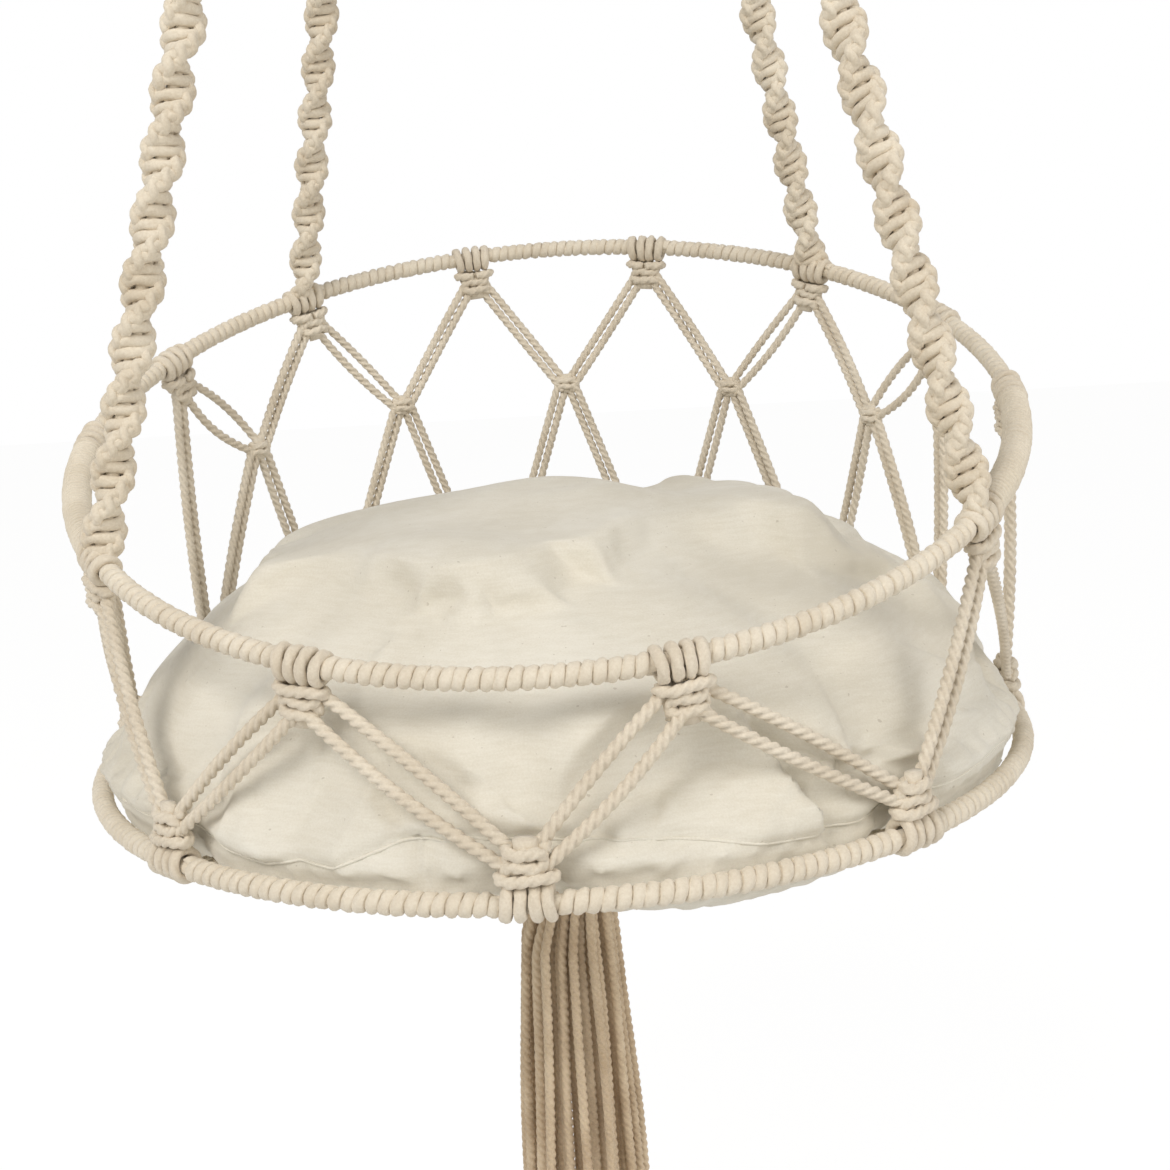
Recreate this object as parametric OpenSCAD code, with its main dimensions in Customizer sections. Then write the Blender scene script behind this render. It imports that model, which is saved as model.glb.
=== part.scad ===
// Hanging hammock for a cat: two cord-wrapped hoops, a knotted cotton net, four twisted straps,
// a canvas cushion and a tassel. Millimetres, +Z up. The origin is the middle of the hanging
// ring's eye, and the low front of the basket faces -Y. Angles round the hoops are counted
// from the front, positive towards +X.

/* [Hoops] */
// Radius of both hoops, to the middle of their wire
hoop_r = 200; // [190:1:220]
// Thickness of the steel hoop wire
wire_d = 4; // [3:0.5:4.5]
// Thickness of a hoop over its cord wrapping
wrap_d = 8.4; // [8:0.2:10]
// Thickness of the upper hoop over the fine bindings at its sides
binding_d = 12; // [9:0.5:13]
// Distance from one rib of the wrapping to the next, two turns of cord
rib_pitch = 9.4; // [8.5:0.1:14]
// Tilt of the upper hoop in degrees, low at the front
rim_tilt = 21.5; // [14:0.5:24]
// Height of the upper hoop's middle above the lower hoop
rim_rise = 143; // [138:1:180]
// Distance of the upper hoop's middle behind the lower hoop's middle
rim_back = 6; // [0:1:8]

/* [Net] */
// Thickness of the cotton cord
cord_d = 4; // [3.6:0.1:4.4]
// Radius of the body of a net knot
knot_r = 7; // [6:0.5:8]
// Depth of the knot under the basket below the lower hoop
sag = 62; // [54:1:80]
// Radius of the knot that gathers the net under the basket
base_knot_r = 18.5; // [18:0.5:22]

/* [Hanging] */
// Depth of the lower hoop below the middle of the hanging ring
drop = 890; // [760:10:1200]
// Radius of the hanging ring, to the middle of its wire
ring_r = 32; // [30:1:40]
// Thickness of the hanging ring's wire
ring_wire_d = 6; // [5:0.5:7]
// Distance from the hanging ring's wire down to the gathering wrap
hanger_l = 30; // [24:1:60]
// Turns of cord in the gathering wrap
wrap_turns = 7; // [5:1:10]

/* [Straps] */
// Width of a twisted strap
strap_w = 17; // [14:0.5:19]
// Thickness of a twisted strap
strap_t = 9; // [7:0.5:11]
// Length of one full twist of a strap
strap_pitch = 48; // [40:1:70]

/* [Cushion] */
// Radius of the cushion at its seam
cushion_r = 187; // [175:1:188]
// How far the cushion lies behind the middle of the lower hoop
cushion_back = 3; // [0:0.5:4]
// Height of the cushion's crown above the lower hoop
cushion_crown = 100; // [80:1:105]
// Height of the cushion's seam above the lower hoop
seam_h = 12; // [8:1:18]
// Thickness of the canvas
canvas_t = 1.2; // [0.8:0.1:2]

/* [Tassel] */
// Length of the tassel below the middle of the gathered knot
tassel_l = 262; // [160:2:400]
// Strands in the tassel
strand_count = 30; // [12:1:30]
// Radius of the tassel at its cut end, to the middle of the outer strands
tassel_r = 27; // [23:1:40]

/* [Hidden] */

// Clearance between pieces that lie against each other
gap = 0.3;
// Clearance of the hanger loops round the ring's wire, which lets them swing
ring_play = 0.9;

// Places of the knots round the hoops, in degrees from the front, for the right half
rim_front_az = 18.5;
strap_front_az = 56;
rim_bound_az = 87.5;
rim_side_az = 112;
strap_back_az = 138;
rim_back_az = 166;
base_front_az = 41;
base_side_az = 92;
base_rear_az = 114;
// Turn of the two front knots of the rim, which lie a little to the viewer's left
front_turn_az = -3.3;
front_left_az = front_turn_az - rim_front_az;
front_right_az = front_turn_az + rim_front_az;
base_knot_az = [0, base_front_az, base_side_az, base_rear_az, strap_back_az, rim_back_az];
// Share of the way down from the rim at which the back cords cross in a knot
cross_share = 0.31;
// Share by which the two cords of a pair stand apart
pair_spread = 1.1;

// Cords, loops and knots
cord_r = cord_d/2;
wire_r = wire_d/2;
cord_step = cord_d + gap;
end_gap = 2*gap;
loop_count = 4;
loop_r = wire_r + gap + cord_r;
loop_out = loop_r + cord_r;
loop_az = arc_deg(cord_step);
knot_half_az = arc_deg(loop_count*cord_step/2 + gap);
knot_off = loop_out + gap + knot_r;
knot_groove = 1;
knot_ribs = 4;

// Hanger
ring_wire_r = ring_wire_d/2;
hanger_loop_r = ring_wire_r + ring_play + cord_r;
grid_step = cord_d + end_gap;
wrap_top = -ring_r - hanger_l;
wrap_pitch = cord_d + end_gap;
wrap_bottom = wrap_top - wrap_turns*wrap_pitch - cord_d;
apex_z = (wrap_top + wrap_bottom)/2;
hanger_rows = [-1.5, -0.5, 0.5, 1.5];
hanger_layers = [0, 1];
bundle_r = sqrt(2)*max(hanger_rows)*grid_step + cord_r;
wrap_r = bundle_r + gap + cord_r;
strap_head_share = 1.2;
strap_head_r = strap_head_share*strap_w;
strap_sides_share = 0.3;
strap_slices_per_turn = 8;

// Hoop wrapping
rib_valley_share = 0.86;
wrap_sides = 6;
bore_step_az = 4.5;

// Cushion and tassel
crown_power = 2;
belly_flat_share = 0.11;
belly_edge_share = 0.9;
tassel_top_r = base_knot_r - cord_r/2;
tassel_top = -drop - sag;
golden_az = 137.508;
outline_step = 5;
wrap_ring_step = 24;

function arc_deg(arc) = arc/hoop_r*180/PI;
function unit(v) = v/norm(v);
function rim_point(az) = [
    hoop_r*sin(az),
    rim_back - hoop_r*cos(az)*cos(rim_tilt),
    rim_rise - drop - hoop_r*cos(az)*sin(rim_tilt)
];
function base_point(az) = [hoop_r*sin(az), -hoop_r*cos(az), -drop];
function rim_tangent(az) = [cos(az), sin(az)*cos(rim_tilt), sin(az)*sin(rim_tilt)];
// Direction nearest to v that is square to the upper hoop's wire
function square_to_rim(az, v) = unit(v - rim_tangent(az)*(v*rim_tangent(az)));
function rim_knot(az) = rim_point(az) + square_to_rim(az, [0, 0, -1])*knot_off;
function base_knot(az) = base_point(az) + [0, 0, knot_off];
// Where the cords of two rim knots cross on their way to two knots of the lower hoop
function cross_knot(a, b, c, d) =
    (rim_knot(a) + rim_knot(b))/2*(1 - cross_share) + (base_knot(c) + base_knot(d))/2*cross_share;
cross_rear = cross_knot(rim_side_az, strap_back_az, base_rear_az, strap_back_az);
cross_mid = cross_knot(strap_back_az, rim_back_az, strap_back_az, rim_back_az);
cross_back = cross_knot(rim_back_az, -rim_back_az, rim_back_az, -rim_back_az);

// Straps run from the rim towards one point inside the gathering wrap
apex = [0, 0, apex_z];
function strap_knot(az) = rim_point(az) + square_to_rim(az, apex - rim_point(az))*knot_off;
function strap_dir(az) = unit(apex - strap_knot(az));
function strap_foot(az) = strap_knot(az) + strap_dir(az)*(knot_r + gap);
function strap_head(az) =
    let (foot = strap_knot(az)) apex + (foot - apex)*(strap_head_r/norm([foot[0], foot[1]]));

module mirrored() {
    children();
    mirror([1, 0, 0]) children();
}

module stand(p, d) {
    translate(p) rotate([0, acos(d[2]/norm(d)), atan2(d[1], d[0])]) children();
}

module cord(p, q) {
    stand(p, q - p) cylinder(h = norm(q - p), r = cord_r, $fn = 24);
}

module torus(major, minor, angle = 360) {
    rotate_extrude(angle = angle, $fn = 64) translate([major, 0]) circle(r = minor, $fn = 24);
}

module rim_frame() {
    translate([0, rim_back, rim_rise - drop]) rotate([rim_tilt, 0, 0]) children();
}

module base_frame() {
    translate([0, 0, -drop]) children();
}

// Body of a knot, a ball with rounded turns of cord round its axis
module knot_body(r) {
    outline = [for (t = [0:outline_step:180])
        [sin(t)*(r - knot_groove*(1 - cos(2*knot_ribs*t))/2), -r*cos(t)]];
    rotate_extrude($fn = 48) polygon(outline);
}

// Loops of cord over a hoop's wire, side by side
module hoop_loops(az) {
    for (i = [0:loop_count - 1])
        rotate([0, 0, az + (i - (loop_count - 1)/2)*loop_az])
            translate([0, -hoop_r, 0]) rotate([0, 90, 0]) torus(loop_r, cord_r);
}

module rim_knots_at(angles) {
    for (az = angles) {
        rim_frame() hoop_loops(az);
        translate(rim_knot(az)) knot_body(knot_r);
    }
}

module base_knots_at(angles) {
    for (az = angles) {
        base_frame() hoop_loops(az);
        translate(base_knot(az)) knot_body(knot_r);
    }
}

module strap_knots_at(angles) {
    rim_knots_at(angles);
    for (az = angles) stand(strap_knot(az), strap_dir(az)) knot_body(knot_r);
}

// Closed skin over rings of points, either a full tube or a tube with a bore
function skin(first, rows, sides, flip) = [
    for (i = [0:rows - 2], j = [0:sides - 1])
        let (a = first + i*sides + j, b = first + i*sides + (j + 1)%sides)
        each flip ? [[a, a + sides, b], [b, a + sides, b + sides]] : [[a, b, a + sides], [b, b + sides, a + sides]]
];

function arc_ring(az, r) = [
    for (j = [0:wrap_sides - 1])
        let (t = 360*j/wrap_sides, reach = hoop_r + r*cos(t))
        [reach*sin(az), -reach*cos(az), r*sin(t)]
];

// Sleeve of wrapped cord on a hoop, ribbed outside and bored for the wire
module wrap_sleeve(start, end) {
    span = end - start;
    ribs = round(span/arc_deg(rib_pitch));
    rows = 2*ribs + 1;
    bore_rows = ceil(span/bore_step_az) + 1;
    outer_r = wrap_d/2;
    bore_r = (wire_r + gap)/cos(180/wrap_sides) + gap;
    outer = [for (i = [0:rows - 1])
        each arc_ring(start + span*i/(rows - 1), outer_r*(i%2 == 0 ? rib_valley_share : 1))];
    bore = [for (i = [0:bore_rows - 1]) each arc_ring(start + span*i/(bore_rows - 1), bore_r)];
    first_bore = rows*wrap_sides;
    last_outer = first_bore - wrap_sides;
    last_bore = first_bore + (bore_rows - 1)*wrap_sides;
    near_end = [for (j = [0:wrap_sides - 1])
        let (k = (j + 1)%wrap_sides)
        each [[j, first_bore + j, k], [k, first_bore + j, first_bore + k]]];
    far_end = [for (j = [0:wrap_sides - 1])
        let (k = (j + 1)%wrap_sides)
        each [[last_outer + j, last_outer + k, last_bore + j], [last_outer + k, last_bore + k, last_bore + j]]];
    polyhedron(
        points = concat(outer, bore),
        faces = concat(
            skin(0, rows, wrap_sides, false),
            skin(first_bore, bore_rows, wrap_sides, true),
            near_end, far_end));
}

// Sleeves between the knots of a hoop
module sleeves(angles) {
    for (i = [0:len(angles) - 2]) wrap_sleeve(angles[i] + knot_half_az, angles[i + 1] - knot_half_az);
}

// Smooth fine binding on the upper hoop, from a strap's knot to the next one behind it
module binding_sleeve() {
    start = strap_front_az + knot_half_az;
    rotate([0, 0, start - 90])
        rotate_extrude(angle = rim_bound_az - knot_half_az - start, $fn = 128)
            translate([hoop_r, 0])
                difference() {
                    circle(d = binding_d, $fn = 32);
                    circle(r = wire_r + gap, $fn = 32);
                }
}

module side_sleeves() {
    sleeves([rim_bound_az, rim_side_az, strap_back_az]);
}

// Distance from a knot's middle at which a cord that passes beside the middle meets the knot
function knot_reach(beside) = sqrt(pow(knot_r, 2) - pow(max(0, beside - cord_r), 2)) + gap;

// Two cords from one knot to another, which leave and arrive beside the knot's other cords:
// near_side and far_side are 1 for onwards round the hoop, -1 for back, or 0 for the middle
module cord_pair(a, b, near_side, far_side) {
    d = unit(b - a);
    middle = (a + b)/2;
    onwards = unit([-middle[1], middle[0], 0]);
    side = unit(onwards - d*(d*onwards));
    for (s = [-0.5, 0.5]) {
        near = (near_side + pair_spread*s)*cord_step;
        far = (far_side + pair_spread*s)*cord_step;
        cord(a + d*knot_reach(abs(near)) + side*near, b - d*knot_reach(abs(far)) + side*far);
    }
}

// A pair that runs round the hoop from one azimuth to another
module rim_to_base(from_az, to_az) {
    way = sign(to_az - from_az);
    cord_pair(rim_knot(from_az), base_knot(to_az), way, -way);
}

// Half turns of the hanger cords over the ring's wire, in two layers, and their places
function hanger_lay_r(layer) = hanger_loop_r + layer*cord_step;
function hanger_place(row) = [row*cord_step, 0, -sqrt(pow(ring_r, 2) - pow(row*cord_step, 2))];
function hanger_end(row, layer, side) = hanger_place(row) + [0, side*hanger_lay_r(layer), 0];
function bundle_xy(row, layer, side) = [row*grid_step, side*(layer + 0.5)*grid_step, 0];
function strap_az_of(row, side) = (side < 0 ? strap_front_az : strap_back_az)*sign(row);
function neck_foot(row, layer, side) =
    let (az = strap_az_of(row, side), d = strap_dir(az),
        beside = [(abs(row) - 1)*sign(row)*cord_step, side*(layer - 0.5)*cord_step, 0])
    strap_head(az) + beside - d*(d*beside) + d*end_gap;

module hanging_ring() {
    color("silver") rotate([90, 0, 0]) torus(ring_r, ring_wire_r);
}

module hanger_loops() {
    color("antiquewhite")
        for (row = hanger_rows, layer = hanger_layers)
            translate(hanger_place(row))
                rotate([0, -90, 0]) rotate([0, 0, -90]) torus(hanger_lay_r(layer), cord_r, 180);
}

module hanger_cords() {
    color("antiquewhite")
        for (row = hanger_rows, layer = hanger_layers, side = [-1, 1]) {
            place = bundle_xy(row, layer, side);
            into_wrap = place + [0, 0, wrap_top];
            out_of_wrap = place + [0, 0, wrap_bottom];
            cord(hanger_end(row, layer, side) - [0, 0, end_gap], into_wrap + [0, 0, end_gap]);
            cord(into_wrap, out_of_wrap);
            flare = neck_foot(row, layer, side) - out_of_wrap;
            turn_room = cord_r*norm([flare[0], flare[1]])/norm(flare) + gap;
            cord(out_of_wrap - [0, 0, turn_room], neck_foot(row, layer, side));
        }
}

// The gathering wrap: one tube wound down round the bundle, with straight ends
wrap_steps = wrap_turns*360/wrap_ring_step;
function wrap_place(t) = [wrap_r*cos(t), wrap_r*sin(t), wrap_top - cord_r - wrap_pitch*t/360];
function wrap_heading(t) = unit([-wrap_r*sin(t), wrap_r*cos(t), -wrap_pitch/(2*PI)]);
function tube_ring(p, heading, out) =
    let (up = cross(heading, out))
    [for (j = [0:wrap_sides - 1])
        p + cord_r*(out*cos(360*j/wrap_sides) + up*sin(360*j/wrap_sides))];
wrap_path = [for (i = [0:wrap_steps]) wrap_place(i*wrap_ring_step)];
wrap_self_gap = min([
    for (i = [0:wrap_steps], j = [0:wrap_steps])
        if (j - i >= 180/wrap_ring_step) norm(wrap_path[i] - wrap_path[j]) - cord_d
]);

module gathering_wrap() {
    echo(least_gap_in_gathering_wrap = wrap_self_gap);
    ends = [0, wrap_steps*wrap_ring_step];
    rings = concat(
        [tube_ring(wrap_place(ends[0]) - wrap_heading(ends[0])*cord_d, wrap_heading(ends[0]), [1, 0, 0])],
        [for (i = [0:wrap_steps])
            let (t = i*wrap_ring_step) tube_ring(wrap_place(t), wrap_heading(t), [cos(t), sin(t), 0])],
        [tube_ring(wrap_place(ends[1]) + wrap_heading(ends[1])*cord_d, wrap_heading(ends[1]),
            [cos(ends[1]), sin(ends[1]), 0])]);
    last = (len(rings) - 1)*wrap_sides;
    color("antiquewhite")
        polyhedron(
            points = [for (ring = rings) each ring],
            faces = concat(
                skin(0, len(rings), wrap_sides, false),
                [for (j = [1:wrap_sides - 2]) [0, j + 1, j]],
                [for (j = [1:wrap_sides - 2]) [last, last + j, last + j + 1]]));
}

// Half-knot strap: a flat band twisted steadily along its length
module strap(az) {
    run = strap_head(az) - strap_foot(az);
    turns = norm(run)/strap_pitch;
    half_w = strap_w/2;
    half_t = strap_t/2;
    flat = strap_sides_share*strap_w;
    band = [[-half_w, 0], [-flat, -half_t], [flat, -half_t], [half_w, 0], [flat, half_t], [-flat, half_t]];
    slices = round(turns*strap_slices_per_turn);
    color("antiquewhite")
        stand(strap_foot(az), run)
            linear_extrude(height = norm(run), twist = -360*turns, slices = slices, segments = len(band))
                polygon(band);
}

module strap_front_right() { strap(strap_front_az); }
module strap_front_left() { strap(-strap_front_az); }
module strap_back_right() { strap(strap_back_az); }
module strap_back_left() { strap(-strap_back_az); }

module upper_hoop() {
    color("silver") rim_frame() torus(hoop_r, wire_r);
}

module lower_hoop() {
    color("silver") base_frame() torus(hoop_r, wire_r);
}

module rim_wrap_front() {
    color("antiquewhite") rim_frame() sleeves([-strap_front_az, front_left_az, front_right_az, strap_front_az]);
}

module rim_wrap_right() {
    color("antiquewhite") rim_frame() side_sleeves();
}

module rim_wrap_left() {
    color("antiquewhite") rim_frame() mirror([1, 0, 0]) side_sleeves();
}

module rim_wrap_back() {
    color("antiquewhite")
        rim_frame() sleeves([strap_back_az, rim_back_az, 360 - rim_back_az, 360 - strap_back_az]);
}

module rim_binding_right() {
    color("linen") rim_frame() binding_sleeve();
}

module rim_binding_left() {
    color("linen") rim_frame() mirror([1, 0, 0]) binding_sleeve();
}

module base_wrap_front() {
    color("antiquewhite") base_frame() sleeves([-base_front_az, 0, base_front_az]);
}

module base_wrap_right() {
    color("antiquewhite")
        base_frame() sleeves([base_front_az, base_side_az, base_rear_az, strap_back_az]);
}

module base_wrap_left() {
    color("antiquewhite")
        base_frame() sleeves([-strap_back_az, -base_rear_az, -base_side_az, -base_front_az]);
}

module base_wrap_back() {
    color("antiquewhite")
        base_frame() sleeves([strap_back_az, rim_back_az, 360 - rim_back_az, 360 - strap_back_az]);
}

module front_rim_knots() {
    color("oldlace") rim_knots_at([front_left_az, front_right_az]);
}

module side_rim_knots() {
    color("oldlace") rim_knots_at([-rim_side_az, -rim_bound_az, rim_bound_az, rim_side_az]);
}

module back_rim_knots() {
    color("oldlace") rim_knots_at([-rim_back_az, rim_back_az]);
}

module front_strap_knots() {
    color("oldlace") strap_knots_at([-strap_front_az, strap_front_az]);
}

module back_strap_knots() {
    color("oldlace") strap_knots_at([-strap_back_az, strap_back_az]);
}

module back_mid_knots() {
    color("oldlace") {
        mirrored() {
            translate(cross_rear) knot_body(knot_r);
            translate(cross_mid) knot_body(knot_r);
        }
        translate(cross_back) knot_body(knot_r);
    }
}

module front_base_knots() {
    color("oldlace") base_knots_at([-base_front_az, 0, base_front_az]);
}

module side_base_knots() {
    color("oldlace") base_knots_at([-base_rear_az, -base_side_az, base_side_az, base_rear_az]);
}

module back_base_knots() {
    color("oldlace") base_knots_at([-rim_back_az, -strap_back_az, strap_back_az, rim_back_az]);
}

module front_net() {
    color("wheat") {
        rim_to_base(front_left_az, 0);
        rim_to_base(front_right_az, 0);
        rim_to_base(front_left_az, -base_front_az);
        rim_to_base(front_right_az, base_front_az);
        mirrored() rim_to_base(strap_front_az, base_front_az);
    }
}

module right_net() {
    color("wheat") {
        rim_to_base(strap_front_az, base_side_az);
        cord_pair(rim_knot(rim_bound_az), base_knot(base_side_az), 1, 1);
        cord_pair(rim_knot(rim_side_az), base_knot(base_rear_az), -1, -1);
    }
}

module left_net() {
    mirror([1, 0, 0]) right_net();
}

module back_net_upper() {
    color("wheat") mirrored() {
        cord_pair(rim_knot(rim_side_az), cross_rear, 1, 0);
        cord_pair(rim_knot(strap_back_az), cross_rear, -1, 1);
        cord_pair(rim_knot(strap_back_az), cross_mid, 1, -1);
        cord_pair(rim_knot(rim_back_az), cross_mid, -1, 1);
        cord_pair(rim_knot(rim_back_az), cross_back, 1, -1);
    }
}

module back_net_lower() {
    color("wheat") mirrored() {
        cord_pair(cross_rear, base_knot(base_rear_az), -1, 1);
        cord_pair(cross_rear, base_knot(strap_back_az), 1, -1);
        cord_pair(cross_mid, base_knot(strap_back_az), -1, 1);
        cord_pair(cross_mid, base_knot(rim_back_az), 1, -1);
        cord_pair(cross_back, base_knot(rim_back_az), -1, 1);
    }
}

// Cords under the cushion, two from each knot of the lower hoop, evenly spread at the middle
base_middle = [0, 0, -drop - sag];
base_last = len(base_knot_az) - 1;
base_cords = 2*(2*base_last + 1);

module base_net() {
    color("wheat")
        for (i = [-base_last:base_last], s = [-0.5, 0.5]) {
            az = sign(i)*base_knot_az[abs(i)] + s*loop_az;
            end_az = 360/base_cords*(2*i + s);
            start = base_point(az);
            end = base_middle + base_knot_r*[sin(end_az), -cos(end_az), 0]*sqrt(1 - pow(sag/hoop_r, 2))
                + [0, 0, base_knot_r*sag/hoop_r];
            d = unit(end - start);
            cord(start + d*(loop_out + end_gap), end - d*end_gap);
        }
}

module base_gather_knot() {
    color("oldlace") translate(base_middle) knot_body(base_knot_r);
}

// Tassel strands fan out from under the gathered knot, evenly spread over its section
module tassel() {
    clear_r = base_knot_r + gap;
    color("tan")
        for (i = [0:strand_count - 1]) {
            spread = sqrt((i + 0.5)/strand_count);
            way = [sin(i*golden_az), -cos(i*golden_az), 0];
            near_axis = max(0, spread*tassel_top_r - cord_r);
            top_z = tassel_top - sqrt(pow(clear_r, 2) - pow(near_axis, 2)) - gap;
            cord(way*spread*tassel_top_r + [0, 0, top_z], way*spread*tassel_r + [0, 0, tassel_top - tassel_l]);
        }
}

// Half outlines of the cushion, taken in all round by inset: the crown above the seam
// and the belly below it, which lies on the cords under the basket
function crown_line(inset) = [
    for (t = [0:outline_step:90])
        [(cushion_r - inset)*pow(cos(t), 2/crown_power),
         seam_h + (cushion_crown - seam_h - inset)*pow(sin(t), 2/crown_power)]
];
belly_rest = -sag + base_knot_r + gap;
belly_edge_r = belly_edge_share*cushion_r;
belly_edge_z = -sag*(1 - belly_edge_r/hoop_r) + cord_d;
function belly_line(inset) = [
    [0, belly_rest + inset],
    [belly_flat_share*cushion_r, belly_rest + inset],
    [belly_edge_r - inset, belly_edge_z + inset],
    for (t = [0:outline_step*3:90])
        [belly_edge_r - inset + (cushion_r - belly_edge_r)*sin(t),
         seam_h - (seam_h - belly_edge_z - inset)*cos(t)]
];
function backwards(line) = [for (i = [len(line) - 1:-1:0]) line[i]];

module cushion_frame() {
    translate([0, cushion_back, -drop]) children();
}

module cushion_top_panel() {
    color("beige") cushion_frame() rotate_extrude($fn = 128)
        polygon(concat(crown_line(0), backwards(crown_line(canvas_t))));
}

module cushion_bottom_panel() {
    color("beige") cushion_frame() rotate_extrude($fn = 128)
        polygon(concat(belly_line(0), backwards(belly_line(canvas_t))));
}

module cushion_filling() {
    inset = canvas_t + gap;
    color("white") cushion_frame() rotate_extrude($fn = 128)
        polygon(concat(belly_line(inset), crown_line(inset)));
}

hanging_ring();
hanger_loops();
hanger_cords();
gathering_wrap();
strap_front_right();
strap_front_left();
strap_back_right();
strap_back_left();
upper_hoop();
rim_wrap_front();
rim_wrap_right();
rim_wrap_left();
rim_wrap_back();
rim_binding_right();
rim_binding_left();
lower_hoop();
base_wrap_front();
base_wrap_right();
base_wrap_left();
base_wrap_back();
front_rim_knots();
side_rim_knots();
back_rim_knots();
front_strap_knots();
back_strap_knots();
back_mid_knots();
front_base_knots();
side_base_knots();
back_base_knots();
front_net();
right_net();
left_net();
back_net_upper();
back_net_lower();
base_net();
base_gather_knot();
tassel();
cushion_top_panel();
cushion_bottom_panel();
cushion_filling();
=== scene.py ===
"""Looks of the hanging cat hammock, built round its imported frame.

Every cord is a rope mesh, most of them laid of three plies, that follows the route of the real
cord: wound on the hoops, tied in knots, twisted into straps, stretched in the net or hanging in
the tassel.
"""

import math
import bmesh
import bpy
import numpy as np
from mathutils import Matrix, Vector
from mathutils.bvhtree import BVHTree
from mathutils.kdtree import KDTree


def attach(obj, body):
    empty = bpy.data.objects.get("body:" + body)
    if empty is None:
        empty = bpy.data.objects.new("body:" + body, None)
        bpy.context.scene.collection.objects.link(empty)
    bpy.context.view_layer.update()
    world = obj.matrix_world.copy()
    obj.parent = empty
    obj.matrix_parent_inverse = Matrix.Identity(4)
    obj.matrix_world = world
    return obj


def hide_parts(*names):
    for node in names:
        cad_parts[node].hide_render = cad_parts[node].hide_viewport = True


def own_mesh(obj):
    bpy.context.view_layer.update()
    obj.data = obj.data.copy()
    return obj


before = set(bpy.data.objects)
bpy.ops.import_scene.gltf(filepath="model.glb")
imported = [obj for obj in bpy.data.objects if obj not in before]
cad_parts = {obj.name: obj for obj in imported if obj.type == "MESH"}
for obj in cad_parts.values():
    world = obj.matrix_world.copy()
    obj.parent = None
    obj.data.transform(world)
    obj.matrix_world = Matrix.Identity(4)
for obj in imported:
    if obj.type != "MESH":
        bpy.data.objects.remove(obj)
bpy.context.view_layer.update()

MM = 0.001

# Sizes of the part, as in its source
HOOP_R = 200*MM
WIRE_R = 2*MM
WRAP_R = 4.2*MM
BINDING_R = 6*MM
RIM_TILT = math.radians(21.5)
RIM_RISE = 143*MM
RIM_BACK = 6*MM
DROP = 890*MM
GAP = 0.3*MM
CORD_R = 2*MM
KNOT_R = 7*MM
SAG = 62*MM
BASE_KNOT_R = 18.5*MM
RING_R = 32*MM
RING_WIRE_R = 3*MM
RING_PLAY = 0.9*MM
HANGER_L = 30*MM
WRAP_TURNS = 7
STRAP_W = 17*MM
STRAP_PITCH = 48*MM
CUSHION_R = 187*MM
CUSHION_CROWN = 100*MM
SEAM_H = 12*MM
TASSEL_L = 262*MM
STRANDS = 30
TASSEL_R = 27*MM

# Places of the knots round the hoops, in degrees from the front; the front two lie a little left
FRONT_TURN = -3.3
RIM_FRONT = [FRONT_TURN - 18.5, FRONT_TURN + 18.5]
STRAP_FRONT = 56
RIM_BOUND = 87.5
RIM_SIDE = 112
STRAP_BACK = 138
RIM_REAR = 166
BASE_FRONT = 41
BASE_SIDE = 92
BASE_REAR = 114
CROSS_SHARE = 0.31

CORD_STEP = 2*CORD_R + GAP
LOOP_R = WIRE_R + GAP + CORD_R
KNOT_OFF = LOOP_R + CORD_R + GAP + KNOT_R
GRID_STEP = 2*CORD_R + 2*GAP
WRAP_TOP = -RING_R - HANGER_L
WRAP_BOTTOM = WRAP_TOP - WRAP_TURNS*GRID_STEP - 2*CORD_R
APEX = np.array([0, 0, (WRAP_TOP + WRAP_BOTTOM)/2])
STRAP_HEAD_R = 1.2*STRAP_W
UP = np.array([0.0, 0.0, 1.0])


def unit(v):
    v = np.asarray(v, float)
    return v/np.linalg.norm(v, axis=-1, keepdims=True)


def square_to(v, axis):
    """The direction nearest to v that is square to axis."""
    return unit(v - axis*np.dot(v, axis))


def rim_point(az):
    a = np.radians(az)
    return np.stack([
        HOOP_R*np.sin(a),
        RIM_BACK - HOOP_R*np.cos(a)*math.cos(RIM_TILT),
        RIM_RISE - DROP - HOOP_R*np.cos(a)*math.sin(RIM_TILT)], -1)


def rim_tangent(az):
    a = np.radians(az)
    return np.stack([
        np.cos(a), np.sin(a)*math.cos(RIM_TILT), np.sin(a)*math.sin(RIM_TILT)], -1)


def base_point(az):
    a = np.radians(az)
    return np.stack([HOOP_R*np.sin(a), -HOOP_R*np.cos(a), -DROP + 0*a], -1)


def base_tangent(az):
    a = np.radians(az)
    return np.stack([np.cos(a), np.sin(a), 0*a], -1)


RIM_UP = np.array([0, -math.sin(RIM_TILT), math.cos(RIM_TILT)])


def rim_knot(az):
    return rim_point(az) + square_to(-UP, rim_tangent(az))*KNOT_OFF


def base_knot(az):
    return base_point(az) + UP*KNOT_OFF


def cross_knot(a, b, c, d):
    return (rim_knot(a) + rim_knot(b))/2*(1 - CROSS_SHARE) + (base_knot(c) + base_knot(d))/2*CROSS_SHARE


def strap_knot(az):
    return rim_point(az) + square_to(APEX - rim_point(az), rim_tangent(az))*KNOT_OFF


def strap_head(az):
    foot = strap_knot(az)
    return APEX + (foot - APEX)*(STRAP_HEAD_R/np.linalg.norm(foot[:2]))


# Rope: a mesh over rings of points, with three plies that turn along the cord

LAY = 12.5*MM
STEP = 1.5*MM
DEEP_PLY_SHARE = 0.48
SOFT_PLY_SHARE = 0.3
LOOSE_PLY_SHARE = 0.38


def ply_section(points, share):
    """Reach of a laid rope's section at even angles. share is how far out its plies' middles lie."""
    off = (np.arange(points) % (points//3))*(2*np.pi/points)
    off = np.minimum(off, 2*np.pi/3 - off)
    return share*np.cos(off) + np.sqrt((1 - share)**2 - (share*np.sin(off))**2)


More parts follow.
